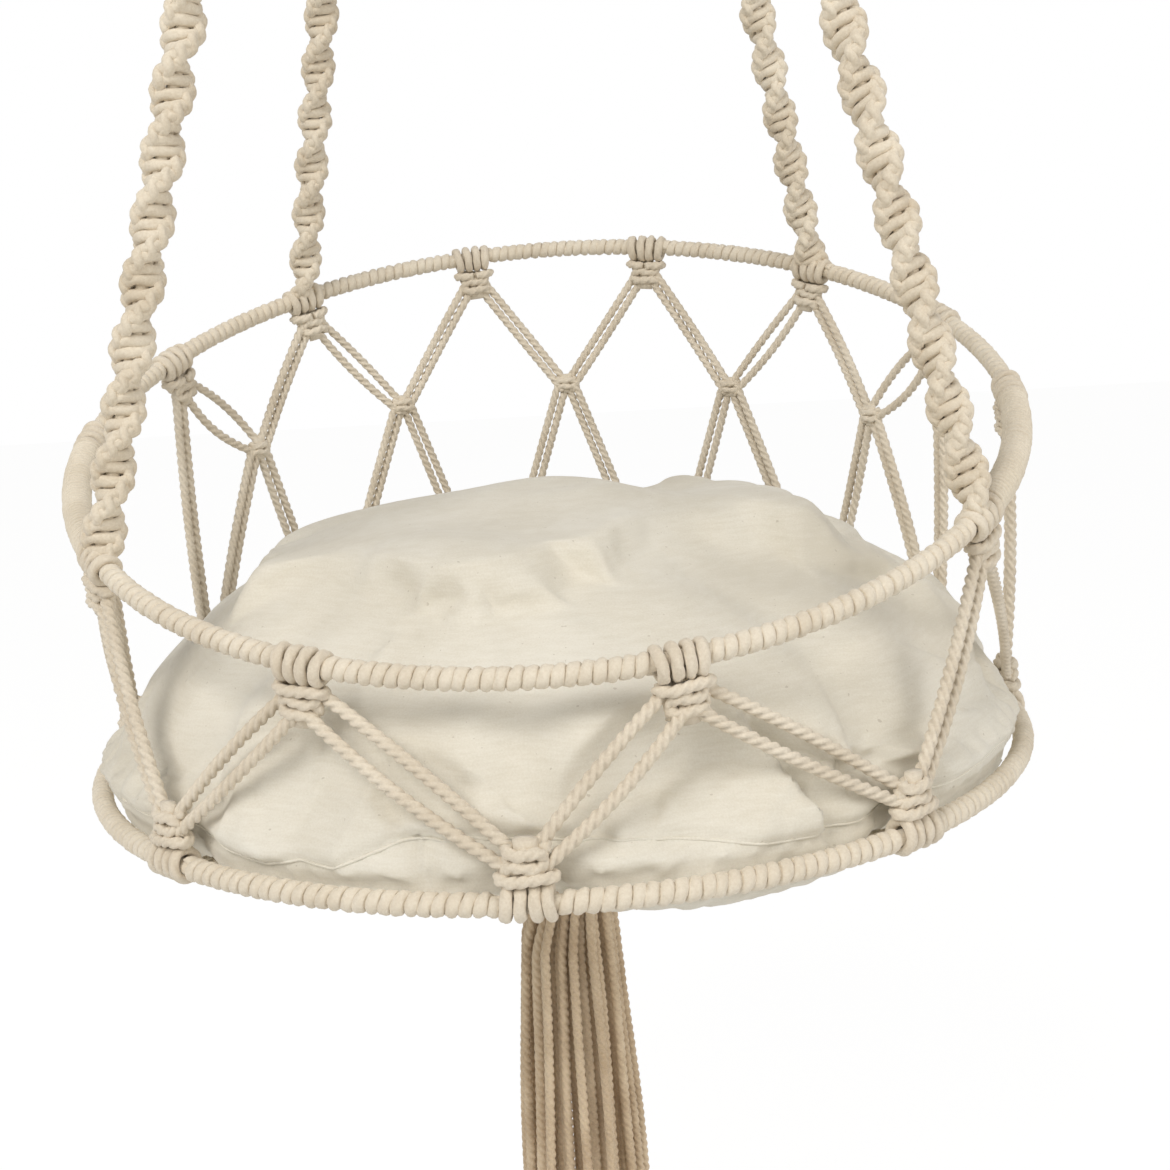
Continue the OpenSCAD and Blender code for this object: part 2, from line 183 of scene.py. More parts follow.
def even(path, step=STEP):
    """The same line with points evenly spread along it."""
    path = np.asarray(path, float)
    run = np.concatenate([[0], np.cumsum(np.linalg.norm(np.diff(path, axis=0), axis=1))])
    at = np.linspace(0, run[-1], max(2, round(run[-1]/step) + 1))
    return np.stack([np.interp(at, run, path[:, k]) for k in range(3)], 1)


def rounded(corners, per_span=12):
    """A smooth line through the corners."""
    p = np.asarray(corners, float)
    p = np.vstack([2*p[0] - p[1], p, 2*p[-1] - p[-2]])
    t = np.linspace(0, 1, per_span, endpoint=False)[:, None]
    spans = []
    for a, b, c, d in zip(p, p[1:], p[2:], p[3:]):
        spans.append(0.5*(2*b + (c - a)*t + (2*a - 5*b + 4*c - d)*t**2 + (3*b - a - 3*c + d)*t**3))
    return np.vstack(spans + [p[-2:-1]])


def headings(path):
    return unit(np.gradient(path, axis=0))


def carried(path, first=None):
    """Side directions that are carried along a line without turning round it."""
    ahead = headings(path)
    side = np.empty_like(path)
    start = first if first is not None else np.eye(3)[np.argmin(np.abs(ahead[0]))]
    side[0] = square_to(start, ahead[0])
    for i in range(1, len(path)):
        side[i] = square_to(side[i - 1], ahead[i])
    return side


class Cords:
    """Gathers the runs of cord of one piece and makes them one mesh."""

    def __init__(self):
        self.points = []
        self.quads = []
        self.caps = []
        self.count = 0

    def run(self, path, radius=CORD_R, side=None, flat=1.0, lay=LAY, phase=0.0, sides=12, ply=DEEP_PLY_SHARE,
            taper=None):
        """One cord along path. flat squeezes it along side, its direction away from what carries it."""
        path = np.asarray(path, float)
        rows = len(path)
        ahead = headings(path)
        out = carried(path) if side is None else unit(side - ahead*np.sum(side*ahead, 1, keepdims=True))
        across = np.cross(ahead, out)
        length = np.concatenate([[0], np.cumsum(np.linalg.norm(np.diff(path, axis=0), axis=1))])
        turn = phase - 2*np.pi*length/lay if ply else 0*length
        angle = turn[:, None] + np.arange(sides)*(2*np.pi/sides)
        reach = radius*(ply_section(sides, ply) if ply else np.ones(sides))
        scale = np.ones(rows) if taper is None else taper
        rings = (
            path[:, None]
            + (out[:, None]*(flat*np.cos(angle))[..., None] + across[:, None]*np.sin(angle)[..., None])
            * (reach[None]*scale[:, None])[..., None])
        return self.skin(rings)

    def skin(self, rings):
        """A closed tube over rings of points."""
        rows, sides = rings.shape[:2]
        first = self.count
        i = np.arange(rows - 1)[:, None]*sides + first
        j = np.arange(sides)
        k = (j + 1) % sides
        self.quads.append(np.stack([i + j, i + k, i + sides + k, i + sides + j], -1).reshape(-1, 4))
        last = first + (rows - 1)*sides
        self.caps.append(list(range(first + sides - 1, first - 1, -1)))
        self.caps.append(list(range(last, last + sides)))
        self.points.append(rings.reshape(-1, 3))
        self.count += rows*sides
        return self

    def made(self, name):
        """An object with the mesh of all runs."""
        mesh = bpy.data.meshes.new(name)
        quads = np.vstack(self.quads)
        corners = np.concatenate([quads.ravel(), np.array([v for cap in self.caps for v in cap], int)])
        sizes = np.array([4]*len(quads) + [len(cap) for cap in self.caps])
        mesh.vertices.add(self.count)
        mesh.vertices.foreach_set("co", np.vstack(self.points).ravel())
        mesh.loops.add(len(corners))
        mesh.loops.foreach_set("vertex_index", corners.astype(np.int32))
        mesh.polygons.add(len(sizes))
        starts = np.concatenate([[0], np.cumsum(sizes)[:-1]])
        mesh.polygons.foreach_set("loop_start", starts.astype(np.int32))
        mesh.polygons.foreach_set("use_smooth", np.ones(len(sizes), bool))
        mesh.update(calc_edges=True)
        mesh.validate()
        return bpy.data.objects.new(name, mesh)

    def piece(self, name, body, material, slot, *nodes):
        return dressed(self.made(name), body, material, slot, *nodes)


def dressed(piece, body, material, slot, *nodes):
    """Puts a new piece in the scene with its finish, on its body, in place of its nodes."""
    bpy.context.scene.collection.objects.link(piece)
    piece.data.materials.clear()
    piece.data.materials.append(material)
    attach(piece, body)
    if nodes:
        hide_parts(*nodes)
    return piece


# Finishes

class Value:
    """A shader socket that takes part in Python sums."""

    def __init__(self, tree, socket):
        self.tree = tree
        self.socket = socket

    def node(self, kind, settings=None, out=0, **sockets):
        """A node of that kind with its settings, and its sockets fed by name."""
        made = self.tree.nodes.new(kind)
        for key, value in (settings or {}).items():
            setattr(made, key, value)
        for key, value in sockets.items():
            spot = made.inputs[int(key[1:])] if key[0] == "_" else made.inputs[key.replace("_", " ")]
            if isinstance(value, Value):
                self.tree.links.new(value.socket, spot)
            else:
                spot.default_value = value
        return Value(self.tree, made.outputs[out])

    def math(self, operation, *terms):
        sockets = {f"_{i}": term for i, term in enumerate(terms)}
        return self.node("ShaderNodeMath", {"operation": operation}, **sockets)

    def __add__(self, other):
        return self.math("ADD", self, other)

    def __radd__(self, other):
        return self.math("ADD", other, self)

    def __rmul__(self, other):
        return self.math("MULTIPLY", other, self)

    def noise(self, scale, detail=2.0, roughness=0.5, stretch=(1, 1, 1)):
        """Even noise round 0.5 over the object, with scale waves to the metre."""
        place = self.node("ShaderNodeTexCoord", out=3)
        place = self.node("ShaderNodeVectorMath", {"operation": "MULTIPLY"}, _0=place, _1=stretch)
        return self.node(
            "ShaderNodeTexNoise", {}, Vector=place, Scale=scale, Detail=detail, Roughness=roughness)

    def between(self, low, high):
        """0 below low, 1 above high, smooth between them."""
        return self.node(
            "ShaderNodeMapRange", {"interpolation_type": "SMOOTHSTEP"},
            Value=self, From_Min=low, From_Max=high)

    def mixed(self, first, second):
        """Two colours mixed by this value."""
        ends = [c if isinstance(c, Value) else (*c, 1) for c in (first, second)]
        return self.node("ShaderNodeMix", {"data_type": "RGBA"}, 2, _0=self, _6=ends[0], _7=ends[1])


def finish(name, **constants):
    """A new material with its main shader, and a Value to start sums from."""
    material = bpy.data.materials.new(name)
    material.use_nodes = True
    shader = material.node_tree.nodes["Principled BSDF"]
    for key, value in constants.items():
        shader.inputs[key.replace("_", " ")].default_value = value
    return material, shader, Value(material.node_tree, None)


def feed(shader, **sockets):
    for key, value in sockets.items():
        value.tree.links.new(value.socket, shader.inputs[key.replace("_", " ")])


FIBRE_DEEP = 0.35*MM
YARN_DEEP = 0.25*MM


def cotton(name, pale, deep, fuzz=0.55):
    """Matt twisted cotton: soft mottling, fine fibres and a fuzzy surface."""
    material, shader, v = finish(
        name, Roughness=0.92, Sheen_Weight=0.25, Sheen_Roughness=0.6, Specular_IOR_Level=0.2)
    mottle = v.noise(38, 3)
    fibre = v.noise(900, 3, 0.65)
    tone = (0.55*mottle + 0.45*fibre).between(0.3, 0.7)
    bump = v.node("ShaderNodeBump", {}, Strength=fuzz, Distance=FIBRE_DEEP, Height=fibre)
    feed(shader, Base_Color=tone.mixed(deep, pale), Normal=bump)
    return material


def steel(name, colour):
    material, shader, v = finish(name, Metallic=1.0, Specular_IOR_Level=0.5)
    brushed = v.noise(260, 4, 0.7, (1, 1, 6))
    shade = brushed.between(0.25, 0.75)
    feed(shader, Base_Color=shade.mixed([0.66*c for c in colour], colour), Roughness=0.24 + 0.16*shade)
    return material


CORD = cotton("cotton_cord", (0.83, 0.755, 0.63), (0.66, 0.575, 0.45))
WRAPPING = cotton("wrapping_cord", (0.845, 0.775, 0.65), (0.70, 0.615, 0.485))
STRAPPING = cotton("strap_cord", (0.83, 0.755, 0.625), (0.64, 0.55, 0.42))
BINDING = cotton("binding_thread", (0.86, 0.79, 0.665), (0.72, 0.64, 0.51), 0.4)
TASSEL = cotton("tassel_cord", (0.80, 0.655, 0.47), (0.55, 0.41, 0.265))
RING = steel("bright_steel", (0.72, 0.72, 0.71))
HOOP = steel("hoop_steel", (0.62, 0.62, 0.61))


# Metal: the hanging ring, and the hoops inside their wrapping

for node, material in (("hanging_ring", RING), ("upper_hoop", HOOP), ("lower_hoop", HOOP)):
    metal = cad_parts[node].data
    metal.materials.clear()
    metal.materials.append(material)
    for polygon in metal.polygons:
        polygon.use_smooth = True


# Hoop wrapping: one flattened cord wound on the wire in each stretch between knots

WRAP_PITCH = 4.5*MM
WRAP_WIDE = 2.42*MM
WRAP_FLAT_SHARE = 0.62
WRAP_PROUD = 0.2*MM
WRAP_LIE = WRAP_R - WRAP_WIDE*WRAP_FLAT_SHARE + WRAP_PROUD
WRAP_CORE = 3*MM
WRAP_LAY = 34*MM
LOOP_SPACING = 5.2*MM
KNOT_HALF_AZ = math.degrees((1.5*LOOP_SPACING + 1.1*CORD_R)/HOOP_R)
DRIFT_SHARE = 0.07
WOUND_SHARE = 0.02
rng = np.random.default_rng(11)


def uneven(count, share, waves):
    """A smooth run of factors near 1, for what is wound or tied by hand."""
    rough = rng.normal(0, share, max(4, waves))
    return 1 + np.interp(np.linspace(0, len(rough) - 1, count), np.arange(len(rough)), rough)


def wound(cords, hoop, start, end, pitch, lie, radius, flat, per_turn=15, ply=SOFT_PLY_SHARE):
    """Winds cord on a hoop from one azimuth to another."""
    place, tangent, up = hoop
    span = math.radians(end - start)*HOOP_R
    turns = max(1, round(abs(span)/pitch))
    t = np.linspace(0, 1, turns*per_turn + 1)
    drift = (uneven(len(t), DRIFT_SHARE, turns) - 1)*np.sin(np.pi*t)/turns
    az = start + (end - start)*np.clip(t + drift, 0, 1)
    angle = 2*np.pi*turns*t + rng.uniform(0, 2*np.pi)
    spoke = np.cross(tangent(az), up)*np.cos(angle)[:, None] + up*np.sin(angle)[:, None]
    path = place(az) + spoke*(lie*uneven(len(t), WOUND_SHARE, turns))[:, None]
    cords.run(path, radius, spoke, flat, WRAP_LAY, ply=ply)


RIM = (rim_point, rim_tangent, RIM_UP)
BASE = (base_point, base_tangent, UP)


def wrap_hoop(name, hoop, stretches, *nodes):
    cords = Cords()
    for start, end in stretches:
        wound(cords, hoop, start, end, WRAP_PITCH, WRAP_LIE, WRAP_WIDE, WRAP_FLAT_SHARE)
        under = np.linspace(start - KNOT_HALF_AZ, end + KNOT_HALF_AZ, 2 + round(abs(end - start)))
        cords.run(hoop[0](under), WRAP_CORE, sides=10, ply=0)
    cords.piece(name, "hammock", WRAPPING, "wrap_cord", *nodes)


def between_knots(*angles):
    return [(a + KNOT_HALF_AZ, b - KNOT_HALF_AZ) for a, b in zip(angles, angles[1:])]


def both_sides(stretches):
    return stretches + [(-b, -a) for a, b in stretches]


def round_back(*angles):
    """The stretches behind, from the right half's knots over the back to the left half's."""
    return between_knots(*angles, *[360 - a for a in reversed(angles)])


wrap_hoop("rim_wrapping_front", RIM, between_knots(-STRAP_FRONT, *RIM_FRONT, STRAP_FRONT), "rim_wrap_front")
wrap_hoop(
    "rim_wrapping_sides", RIM, both_sides(between_knots(RIM_BOUND, RIM_SIDE, STRAP_BACK)),
    "rim_wrap_right", "rim_wrap_left")
wrap_hoop("rim_wrapping_back", RIM, round_back(STRAP_BACK, RIM_REAR), "rim_wrap_back")
wrap_hoop("base_wrapping_front", BASE, between_knots(-BASE_FRONT, 0, BASE_FRONT), "base_wrap_front")
wrap_hoop(
    "base_wrapping_sides", BASE, both_sides(between_knots(BASE_FRONT, BASE_SIDE, BASE_REAR, STRAP_BACK)),
    "base_wrap_right", "base_wrap_left")
wrap_hoop("base_wrapping_back", BASE, round_back(STRAP_BACK, RIM_REAR), "base_wrap_back")

# Fine bindings at the sides of the rim, wound over a padding of cord

THREAD_PITCH = 2.3*MM
THREAD_WIDE = 1.17*MM
THREAD_FLAT_SHARE = 1.0
THREAD_SUNK = 0.1*MM
THREAD_LIE = BINDING_R - THREAD_WIDE*THREAD_FLAT_SHARE
for side, node in ((1, "rim_binding_right"), (-1, "rim_binding_left")):
    cords = Cords()
    start = side*(STRAP_FRONT + KNOT_HALF_AZ)
    end = side*(RIM_BOUND - KNOT_HALF_AZ)
    wound(cords, RIM, start, end, THREAD_PITCH, THREAD_LIE, THREAD_WIDE, THREAD_FLAT_SHARE, 20, 0)
    cords.run(rim_point(np.linspace(start, end, 40)), THREAD_LIE + THREAD_SUNK, sides=20, ply=0)
    cords.piece(node + "_thread", "hammock", BINDING, "binding_thread", node)


# Knots

LOOP_CORD = 2.25*MM
LOOP_TALL = 5.1*MM
LOOP_DEEP = 4.7*MM
LOOP_DROP = 0.8*MM
LOOP_DRAW_SHARE = 0.08
LOOP_FLAT_SHARE = 0.88
COLLAR_DROP = 9.2*MM
COLLAR_HALF = 8.8*MM
COLLAR_OUT = 3.6*MM
BODY_DROP = 15.4*MM
SQUARE_W = 6.2*MM
SQUARE_T = 3.2*MM
SQUARE_H = 4.4*MM
SQUARE_EDGE_SHARE = 0.3
CORE_WIDE_SHARE = 1.25
CORE_FLAT_SHARE = 0.6
CORE_SHARES = (-1.6, -0.8, 0, 0.8, 1.6)
TIED_SHARE = 0.05
TIED_STEP = 1.1*MM


def knot_frame(tangent, axis, place):
    """Across, outwards and along directions of a knot, from the hoop's line and the knot's own axis."""
    across = unit(tangent)
    along = square_to(axis, across)
    outwards = np.cross(along, across)
    facing = math.copysign(1, np.dot(outwards[:2], place[:2]))
    return across*facing, outwards*facing, along


def hoop_loops(cords, place, across, outwards, along, count=4):
    """Loops of cord side by side over a hoop, drawn together towards the knot."""
    angle = np.linspace(0, 2*np.pi, 30)
    for i in range(count):
        beside = (i - (count - 1)/2)*LOOP_SPACING*rng.uniform(0.94, 1.06)
        drawn = beside*(1 - LOOP_DRAW_SHARE*(1 + np.cos(angle)))
        size = rng.uniform(0.95, 1.05)
        ring = along*(LOOP_TALL*size*np.cos(angle))[:, None] + outwards*(LOOP_DEEP*np.sin(angle))[:, None]
        path = place + along*LOOP_DROP + across*drawn[:, None] + ring
        radius = LOOP_CORD*rng.uniform(0.96, 1.05)
        cords.run(path, radius, ring, LOOP_FLAT_SHARE, 2*LAY, rng.uniform(0, 6), ply=SOFT_PLY_SHARE)


def square_knot(cords, middle, across, outwards, along, scale=1.0):
    """A square knot: two cords tied to and fro over a core, one of them in front both times."""
    turns = np.linspace(0, 2*np.pi, 34)
    slide = (turns/np.pi - 1)*SQUARE_H + SQUARE_EDGE_SHARE*SQUARE_H*np.sin(2*turns)
    for hand in (1, -1):
        swing = np.cos(turns)*hand*SQUARE_W*uneven(len(turns), TIED_SHARE, 5)
        front = np.abs(np.sin(turns))*hand*SQUARE_T
        path = middle + scale*(across*swing[:, None] + outwards*front[:, None] + along*slide[:, None])
        cords.run(even(path, TIED_STEP), LOOP_CORD*scale, phase=rng.uniform(0, 6), ply=LOOSE_PLY_SHARE)
    core = np.stack([middle + along*q*SQUARE_H*scale for q in CORE_SHARES])
    cords.run(core, SQUARE_T*CORE_WIDE_SHARE*scale, outwards + 0*core, CORE_FLAT_SHARE, ply=0)


def collar(cords, place, across, outwards, along):
    """The bar of cord that closes the loops above a knot; its ends go back between the loops."""
    shares = [(-0.1, -1.0, 0.1), (-0.7, -0.9, 0.05), (-1.05, 0.1, 0), (-0.6, 0.95, 0.06), (0, 1.05, 0),
              (0.6, 0.95, -0.06), (1.05, 0.1, 0), (0.7, -0.9, 0.05), (0.1, -1.0, 0.1)]
    bar = [place + across*x*COLLAR_HALF + outwards*y*COLLAR_OUT + along*(COLLAR_DROP + z*COLLAR_DROP)
           for x, y, z in shares]
    cords.run(even(rounded(bar), TIED_STEP), LOOP_CORD, phase=rng.uniform(0, 6), ply=LOOSE_PLY_SHARE)


def hoop_knot(cords, hoop, az, axis):
    """Loops over the hoop, the bar that closes them, and a square knot beside the hoop."""
    place = hoop[0](az)
    turned = knot_frame(hoop[1](az), axis, place)
    hoop_loops(cords, place, *turned)
    collar(cords, place, *turned)
    square_knot(cords, place + turned[2]*BODY_DROP, *turned)


def hoop_knots(name, node, hoop, axis, angles):
    cords = Cords()
    for az in angles:
        hoop_knot(cords, hoop, az, axis)
    cords.piece(name, "hammock", CORD, "cotton_cord", node)


def pair(*angles):
    return [s*a for a in angles for s in (-1, 1)]


hoop_knots("rim_knots_front", "front_rim_knots", RIM, -UP, RIM_FRONT)
hoop_knots("rim_knots_side", "side_rim_knots", RIM, -UP, pair(RIM_BOUND, RIM_SIDE))
hoop_knots("rim_knots_back", "back_rim_knots", RIM, -UP, pair(RIM_REAR))
hoop_knots("strap_knots_front", "front_strap_knots", RIM, -UP, pair(STRAP_FRONT))
hoop_knots("strap_knots_back", "back_strap_knots", RIM, -UP, pair(STRAP_BACK))
hoop_knots("base_knots_front", "front_base_knots", BASE, UP, [0] + pair(BASE_FRONT))
hoop_knots("base_knots_side", "side_base_knots", BASE, UP, pair(BASE_SIDE, BASE_REAR))
hoop_knots("base_knots_back", "back_base_knots", BASE, UP, pair(STRAP_BACK, RIM_REAR))

CROSS_SCALE_SHARE = 0.74
RIGHT = np.ones(3)
LEFT = np.array([-1.0, 1.0, 1.0])
cross_rear = cross_knot(RIM_SIDE, STRAP_BACK, BASE_REAR, STRAP_BACK)
cross_mid = cross_knot(STRAP_BACK, RIM_REAR, STRAP_BACK, RIM_REAR)
cross_back = cross_knot(RIM_REAR, -RIM_REAR, RIM_REAR, -RIM_REAR)
cords = Cords()
for place in [cross_back] + [p*s for p in (cross_rear, cross_mid) for s in (RIGHT, LEFT)]:
    square_knot(cords, place, *knot_frame(unit([-place[1], place[0], 0.0]), UP, place), CROSS_SCALE_SHARE)
cords.piece("back_wall_knots", "hammock", CORD, "cotton_cord", "back_mid_knots")


# Net cords, in pairs that part a little between their knots

NET_OUT = 2.2*MM
NET_CORD = 2.25*MM
FRONT_CORD = 2.55*MM
SIDE_SHARE = 0.5
KNOT_SPREAD = 1.25
NET_SPREAD = 1.0
NET_IN = -2*MM
basket_lines = []
base_knot_angles = [0] + pair(BASE_FRONT, BASE_SIDE, BASE_REAR, STRAP_BACK, RIM_REAR)
basket_knots = [base_knot(az) for az in base_knot_angles] + [rim_knot(az) for az in RIM_FRONT]


def net_pair(cords, a, b, near_side, far_side, part=0.3, spread=(NET_SPREAD, NET_SPREAD), radius=NET_CORD):
    """Two cords between knots. part opens them in mid span, spread sets them apart at the knots."""
    d = unit(b - a)
    middle = (a + b)/2
    side = square_to(unit([-middle[1], middle[0], 0.0]), d)
    outwards = square_to(np.array([middle[0], middle[1], 0.0]), d)
    length = np.linalg.norm(b - a)
    t = np.linspace(0, 1, 36)
    along = NET_IN + (length - 2*NET_IN)*t
    bow = np.sin(np.pi*t)
    for s in (-0.5, 0.5):
        near = near_side*SIDE_SHARE + spread[0]*s
        far = far_side*SIDE_SHARE + spread[1]*s
        beside = (near + (far - near)*t + part*2*s*bow)*CORD_STEP*rng.uniform(0.97, 1.03)
        path = a + d*along[:, None] + side*beside[:, None] + outwards*(NET_OUT*bow)[:, None]
        cords.run(even(path), radius, phase=rng.uniform(0, 6))
        basket_lines.append(path)


def rim_to_base(cords, a, b, part=0.3, spread=(KNOT_SPREAD, NET_SPREAD), radius=NET_CORD):
    way = math.copysign(1, b - a)
    net_pair(cords, rim_knot(a), base_knot(b), way, -way, part, spread, radius)


cords = Cords()
WIDE_SPREAD = (1.9, 1.0)
for az, way in zip(RIM_FRONT, (-1, 1)):
    rim_to_base(cords, az, 0, 0.5, WIDE_SPREAD, FRONT_CORD)
    rim_to_base(cords, az, way*BASE_FRONT, 0.4, WIDE_SPREAD, FRONT_CORD)
    rim_to_base(cords, way*STRAP_FRONT, way*BASE_FRONT, 0.2, radius=FRONT_CORD)
cords.piece("net_front", "hammock", CORD, "cotton_cord", "front_net")
front_lines = list(basket_lines)
for way, name in ((1, "right"), (-1, "left")):
    cords = Cords()
    rim_to_base(cords, way*STRAP_FRONT, way*BASE_SIDE, 0.1)
    net_pair(cords, rim_knot(way*RIM_BOUND), base_knot(way*BASE_SIDE), way, way, 0.05)
    net_pair(cords, rim_knot(way*RIM_SIDE), base_knot(way*BASE_REAR), -way, -way, 0.05)
    cords.piece("net_" + name, "hammock", CORD, "cotton_cord", name + "_net")

upper = Cords()
lower = Cords()
for way, turn in ((1, RIGHT), (-1, LEFT)):
    rear = cross_rear*turn
    mid = cross_mid*turn
    net_pair(upper, rim_knot(way*RIM_SIDE), rear, way, 0, 1.3)
    net_pair(upper, rim_knot(way*STRAP_BACK), rear, -way, way, 0.02)
    net_pair(upper, rim_knot(way*STRAP_BACK), mid, way, -way, 0.45)
    net_pair(upper, rim_knot(way*RIM_REAR), mid, -way, way, 0.02)
    net_pair(upper, rim_knot(way*RIM_REAR), cross_back, way, -way, 0.05)
    net_pair(lower, rear, base_knot(way*BASE_REAR), -way, way, 0.02)
    net_pair(lower, rear, base_knot(way*STRAP_BACK), way, -way, 0.1)
    net_pair(lower, mid, base_knot(way*STRAP_BACK), -way, way, 0.02)
    net_pair(lower, mid, base_knot(way*RIM_REAR), way, -way, 0.1)
    net_pair(lower, cross_back, base_knot(way*RIM_REAR), -way, way, 0.05)
upper.piece("net_back_upper", "hammock", CORD, "cotton_cord", "back_net_upper")
lower.piece("net_back_lower", "hammock", CORD, "cotton_cord", "back_net_lower")

# Cords under the cushion and the knot that gathers them

side_lines = basket_lines[len(front_lines):]
base_middle = np.array([0, 0, -DROP - SAG])
base_azimuths = [0] + [BASE_FRONT, BASE_SIDE, BASE_REAR, STRAP_BACK, RIM_REAR]
base_last = len(base_azimuths) - 1
base_cords = 2*(2*base_last + 1)
loop_az = math.degrees(CORD_STEP/HOOP_R)
lean = SAG/HOOP_R
BASE_BOW = 1.2*MM
BASE_IN = 3*MM
cords = Cords()
for i in range(-base_last, base_last + 1):
    for s in (-0.5, 0.5):
        az = math.copysign(1, i)*base_azimuths[abs(i)] + s*loop_az
        end_az = math.radians(360/base_cords*(2*i + s))
        start = base_point(az)
        end = base_middle + BASE_KNOT_R*np.array([
            math.sin(end_az)*math.sqrt(1 - lean**2), -math.cos(end_az)*math.sqrt(1 - lean**2), lean])
        d = unit(end - start)
        t = np.linspace(0, 1, 30)[:, None]
        reach = np.linalg.norm(end - start) - LOOP_R + BASE_IN
        path = start + d*(LOOP_R + t*reach) - UP*(BASE_BOW*np.sin(np.pi*t))
        cords.run(even(path), phase=i + s)
        basket_lines.append(path)
cords.piece("base_cords", "hammock", CORD, "cotton_cord", "base_net")

GATHER_TURNS = 8
GATHER_FROM = 28
GATHER_OVER = 124
GATHER_BALL_SHARE = 0.97
GATHER_SWELL_SHARE = 1.15
GATHER_FLAT_SHARE = 0.95
cords = Cords()
t = np.linspace(0, 1, GATHER_TURNS*40 + 1)
tilt = np.radians(GATHER_FROM + GATHER_OVER*t)
turn = 2*np.pi*GATHER_TURNS*t
barrel = (BASE_KNOT_R - CORD_R)*np.sin(tilt)
spoke = np.stack([np.cos(turn), np.sin(turn), 0*turn], 1)
rows = UP*((BASE_KNOT_R - CORD_R)*np.cos(tilt))[:, None]
cords.run(base_middle + spoke*barrel[:, None] + rows, CORD_R*GATHER_SWELL_SHARE, spoke, GATHER_FLAT_SHARE)
ball = np.linspace(-GATHER_BALL_SHARE, GATHER_BALL_SHARE, 13)
core = np.stack([base_middle + UP*(BASE_KNOT_R - CORD_R)*q for q in ball])
cords.run(core, BASE_KNOT_R - CORD_R, sides=24, ply=0, taper=np.sqrt(1 - ball**2))
cords.piece("gather_knot", "hammock", CORD, "cotton_cord", "base_gather_knot")


# Straps: half knots tied round a core of cords, so that the band turns. The loops of the knots lie
# along the band's two edges in slanted stitches, and the bars of the knots show between them

HALF_KNOT = 5.4*MM
STRAP_SWELL = 0.4*MM
STITCH_CORD = 1.95*MM
STITCH_WIDE = 1.25*MM
STITCH_DEEP = 2.3*MM
STITCH_OFF = STRAP_W/2 + STRAP_SWELL - STITCH_WIDE - STITCH_CORD
STITCH_LAY = 9.2*MM
STITCH_STEP = 0.95*MM
STITCH_FINE = 3
BAR_CORD = 2.5*MM
BAR_HALF = 5.6*MM
BAR_OUT = 2.6*MM
BAR_RISE_SHARE = 0.8
BAR_SLIP = 0.5*MM
BAR_TURN_POINTS = 20
STRAP_CORE = 2.7*MM
STRAP_FOOT = 1*MM
TIGHT_SHARE = 0.07
FAT_SHARE = 0.08


def strap(node, az):
    foot = rim_point(az) + square_to(APEX - rim_point(az), rim_tangent(az))*STRAP_FOOT
    head = strap_head(az)
    length = np.linalg.norm(head - foot)
    d = unit(head - foot)
    first = square_to(rim_tangent(az), d)
    second = np.cross(d, first)

    def turned(x, y, at):
        """Directions x, y of the band's section, turned with the band at heights at."""
        spin = 2*np.pi*at/STRAP_PITCH
        return (first*(x*np.cos(spin) - y*np.sin(spin))[..., None]
                + second*(x*np.sin(spin) + y*np.cos(spin))[..., None])

    cords = Cords()
    turns = length/(2*HALF_KNOT)
    angle = np.linspace(0, 2*np.pi*turns, int(turns*BAR_TURN_POINTS))
    for hand in (0, np.pi):
        loose = BAR_SLIP*(uneven(len(angle), 1, int(turns*2)) - 1)
        at = np.clip((angle + BAR_RISE_SHARE/2*np.sin(2*angle))/(2*np.pi*turns)*length + loose, 0, length)
        tight = uneven(len(angle), TIGHT_SHARE, int(turns*2))
        x = BAR_HALF*np.cos(angle + hand)
        y = BAR_OUT*np.sin(angle + hand)*tight
        out = turned(x/BAR_HALF**2, y/BAR_OUT**2, at)
        cords.run(
            foot + d*at[:, None] + turned(x, y, at), BAR_CORD, out, lay=2*LAY, sides=10, ply=SOFT_PLY_SHARE)
    at = np.linspace(0, length, int(length/STITCH_STEP*STITCH_FINE))
    for hand in (1, -1):
        for half in (0, np.pi):
            curl = half + hand - 2*np.pi*at/STITCH_LAY
            x = hand*(STITCH_OFF + STITCH_WIDE*np.cos(curl))
            y = hand*STITCH_DEEP*np.sin(curl)
            line = even(foot + d*at[:, None] + turned(x, y, at), STITCH_STEP)
            fat = uneven(len(line), FAT_SHARE, int(length/HALF_KNOT))
            cords.run(line, STITCH_CORD, sides=10, lay=2*LAY, ply=SOFT_PLY_SHARE, taper=fat)
    cords.run(foot + d*np.linspace(0, length, 60)[:, None], STRAP_CORE, ply=0)
    cords.piece(node + "_cords", "hammock", STRAPPING, "strap_cord", node)


for end, az in (("front", STRAP_FRONT), ("back", STRAP_BACK)):
    for way, hand in ((1, "right"), (-1, "left")):
        strap(f"strap_{end}_{hand}", way*az)


# Hanger: cords over the ring, through the gathering wrap, to the straps

HANGER_TUCK = 6*MM
SAME_PLACE = 0.05*MM
GATHER_CORD_SHARE = 1.08


def hanger_lay_r(layer):
    return RING_WIRE_R + RING_PLAY + CORD_R + layer*CORD_STEP


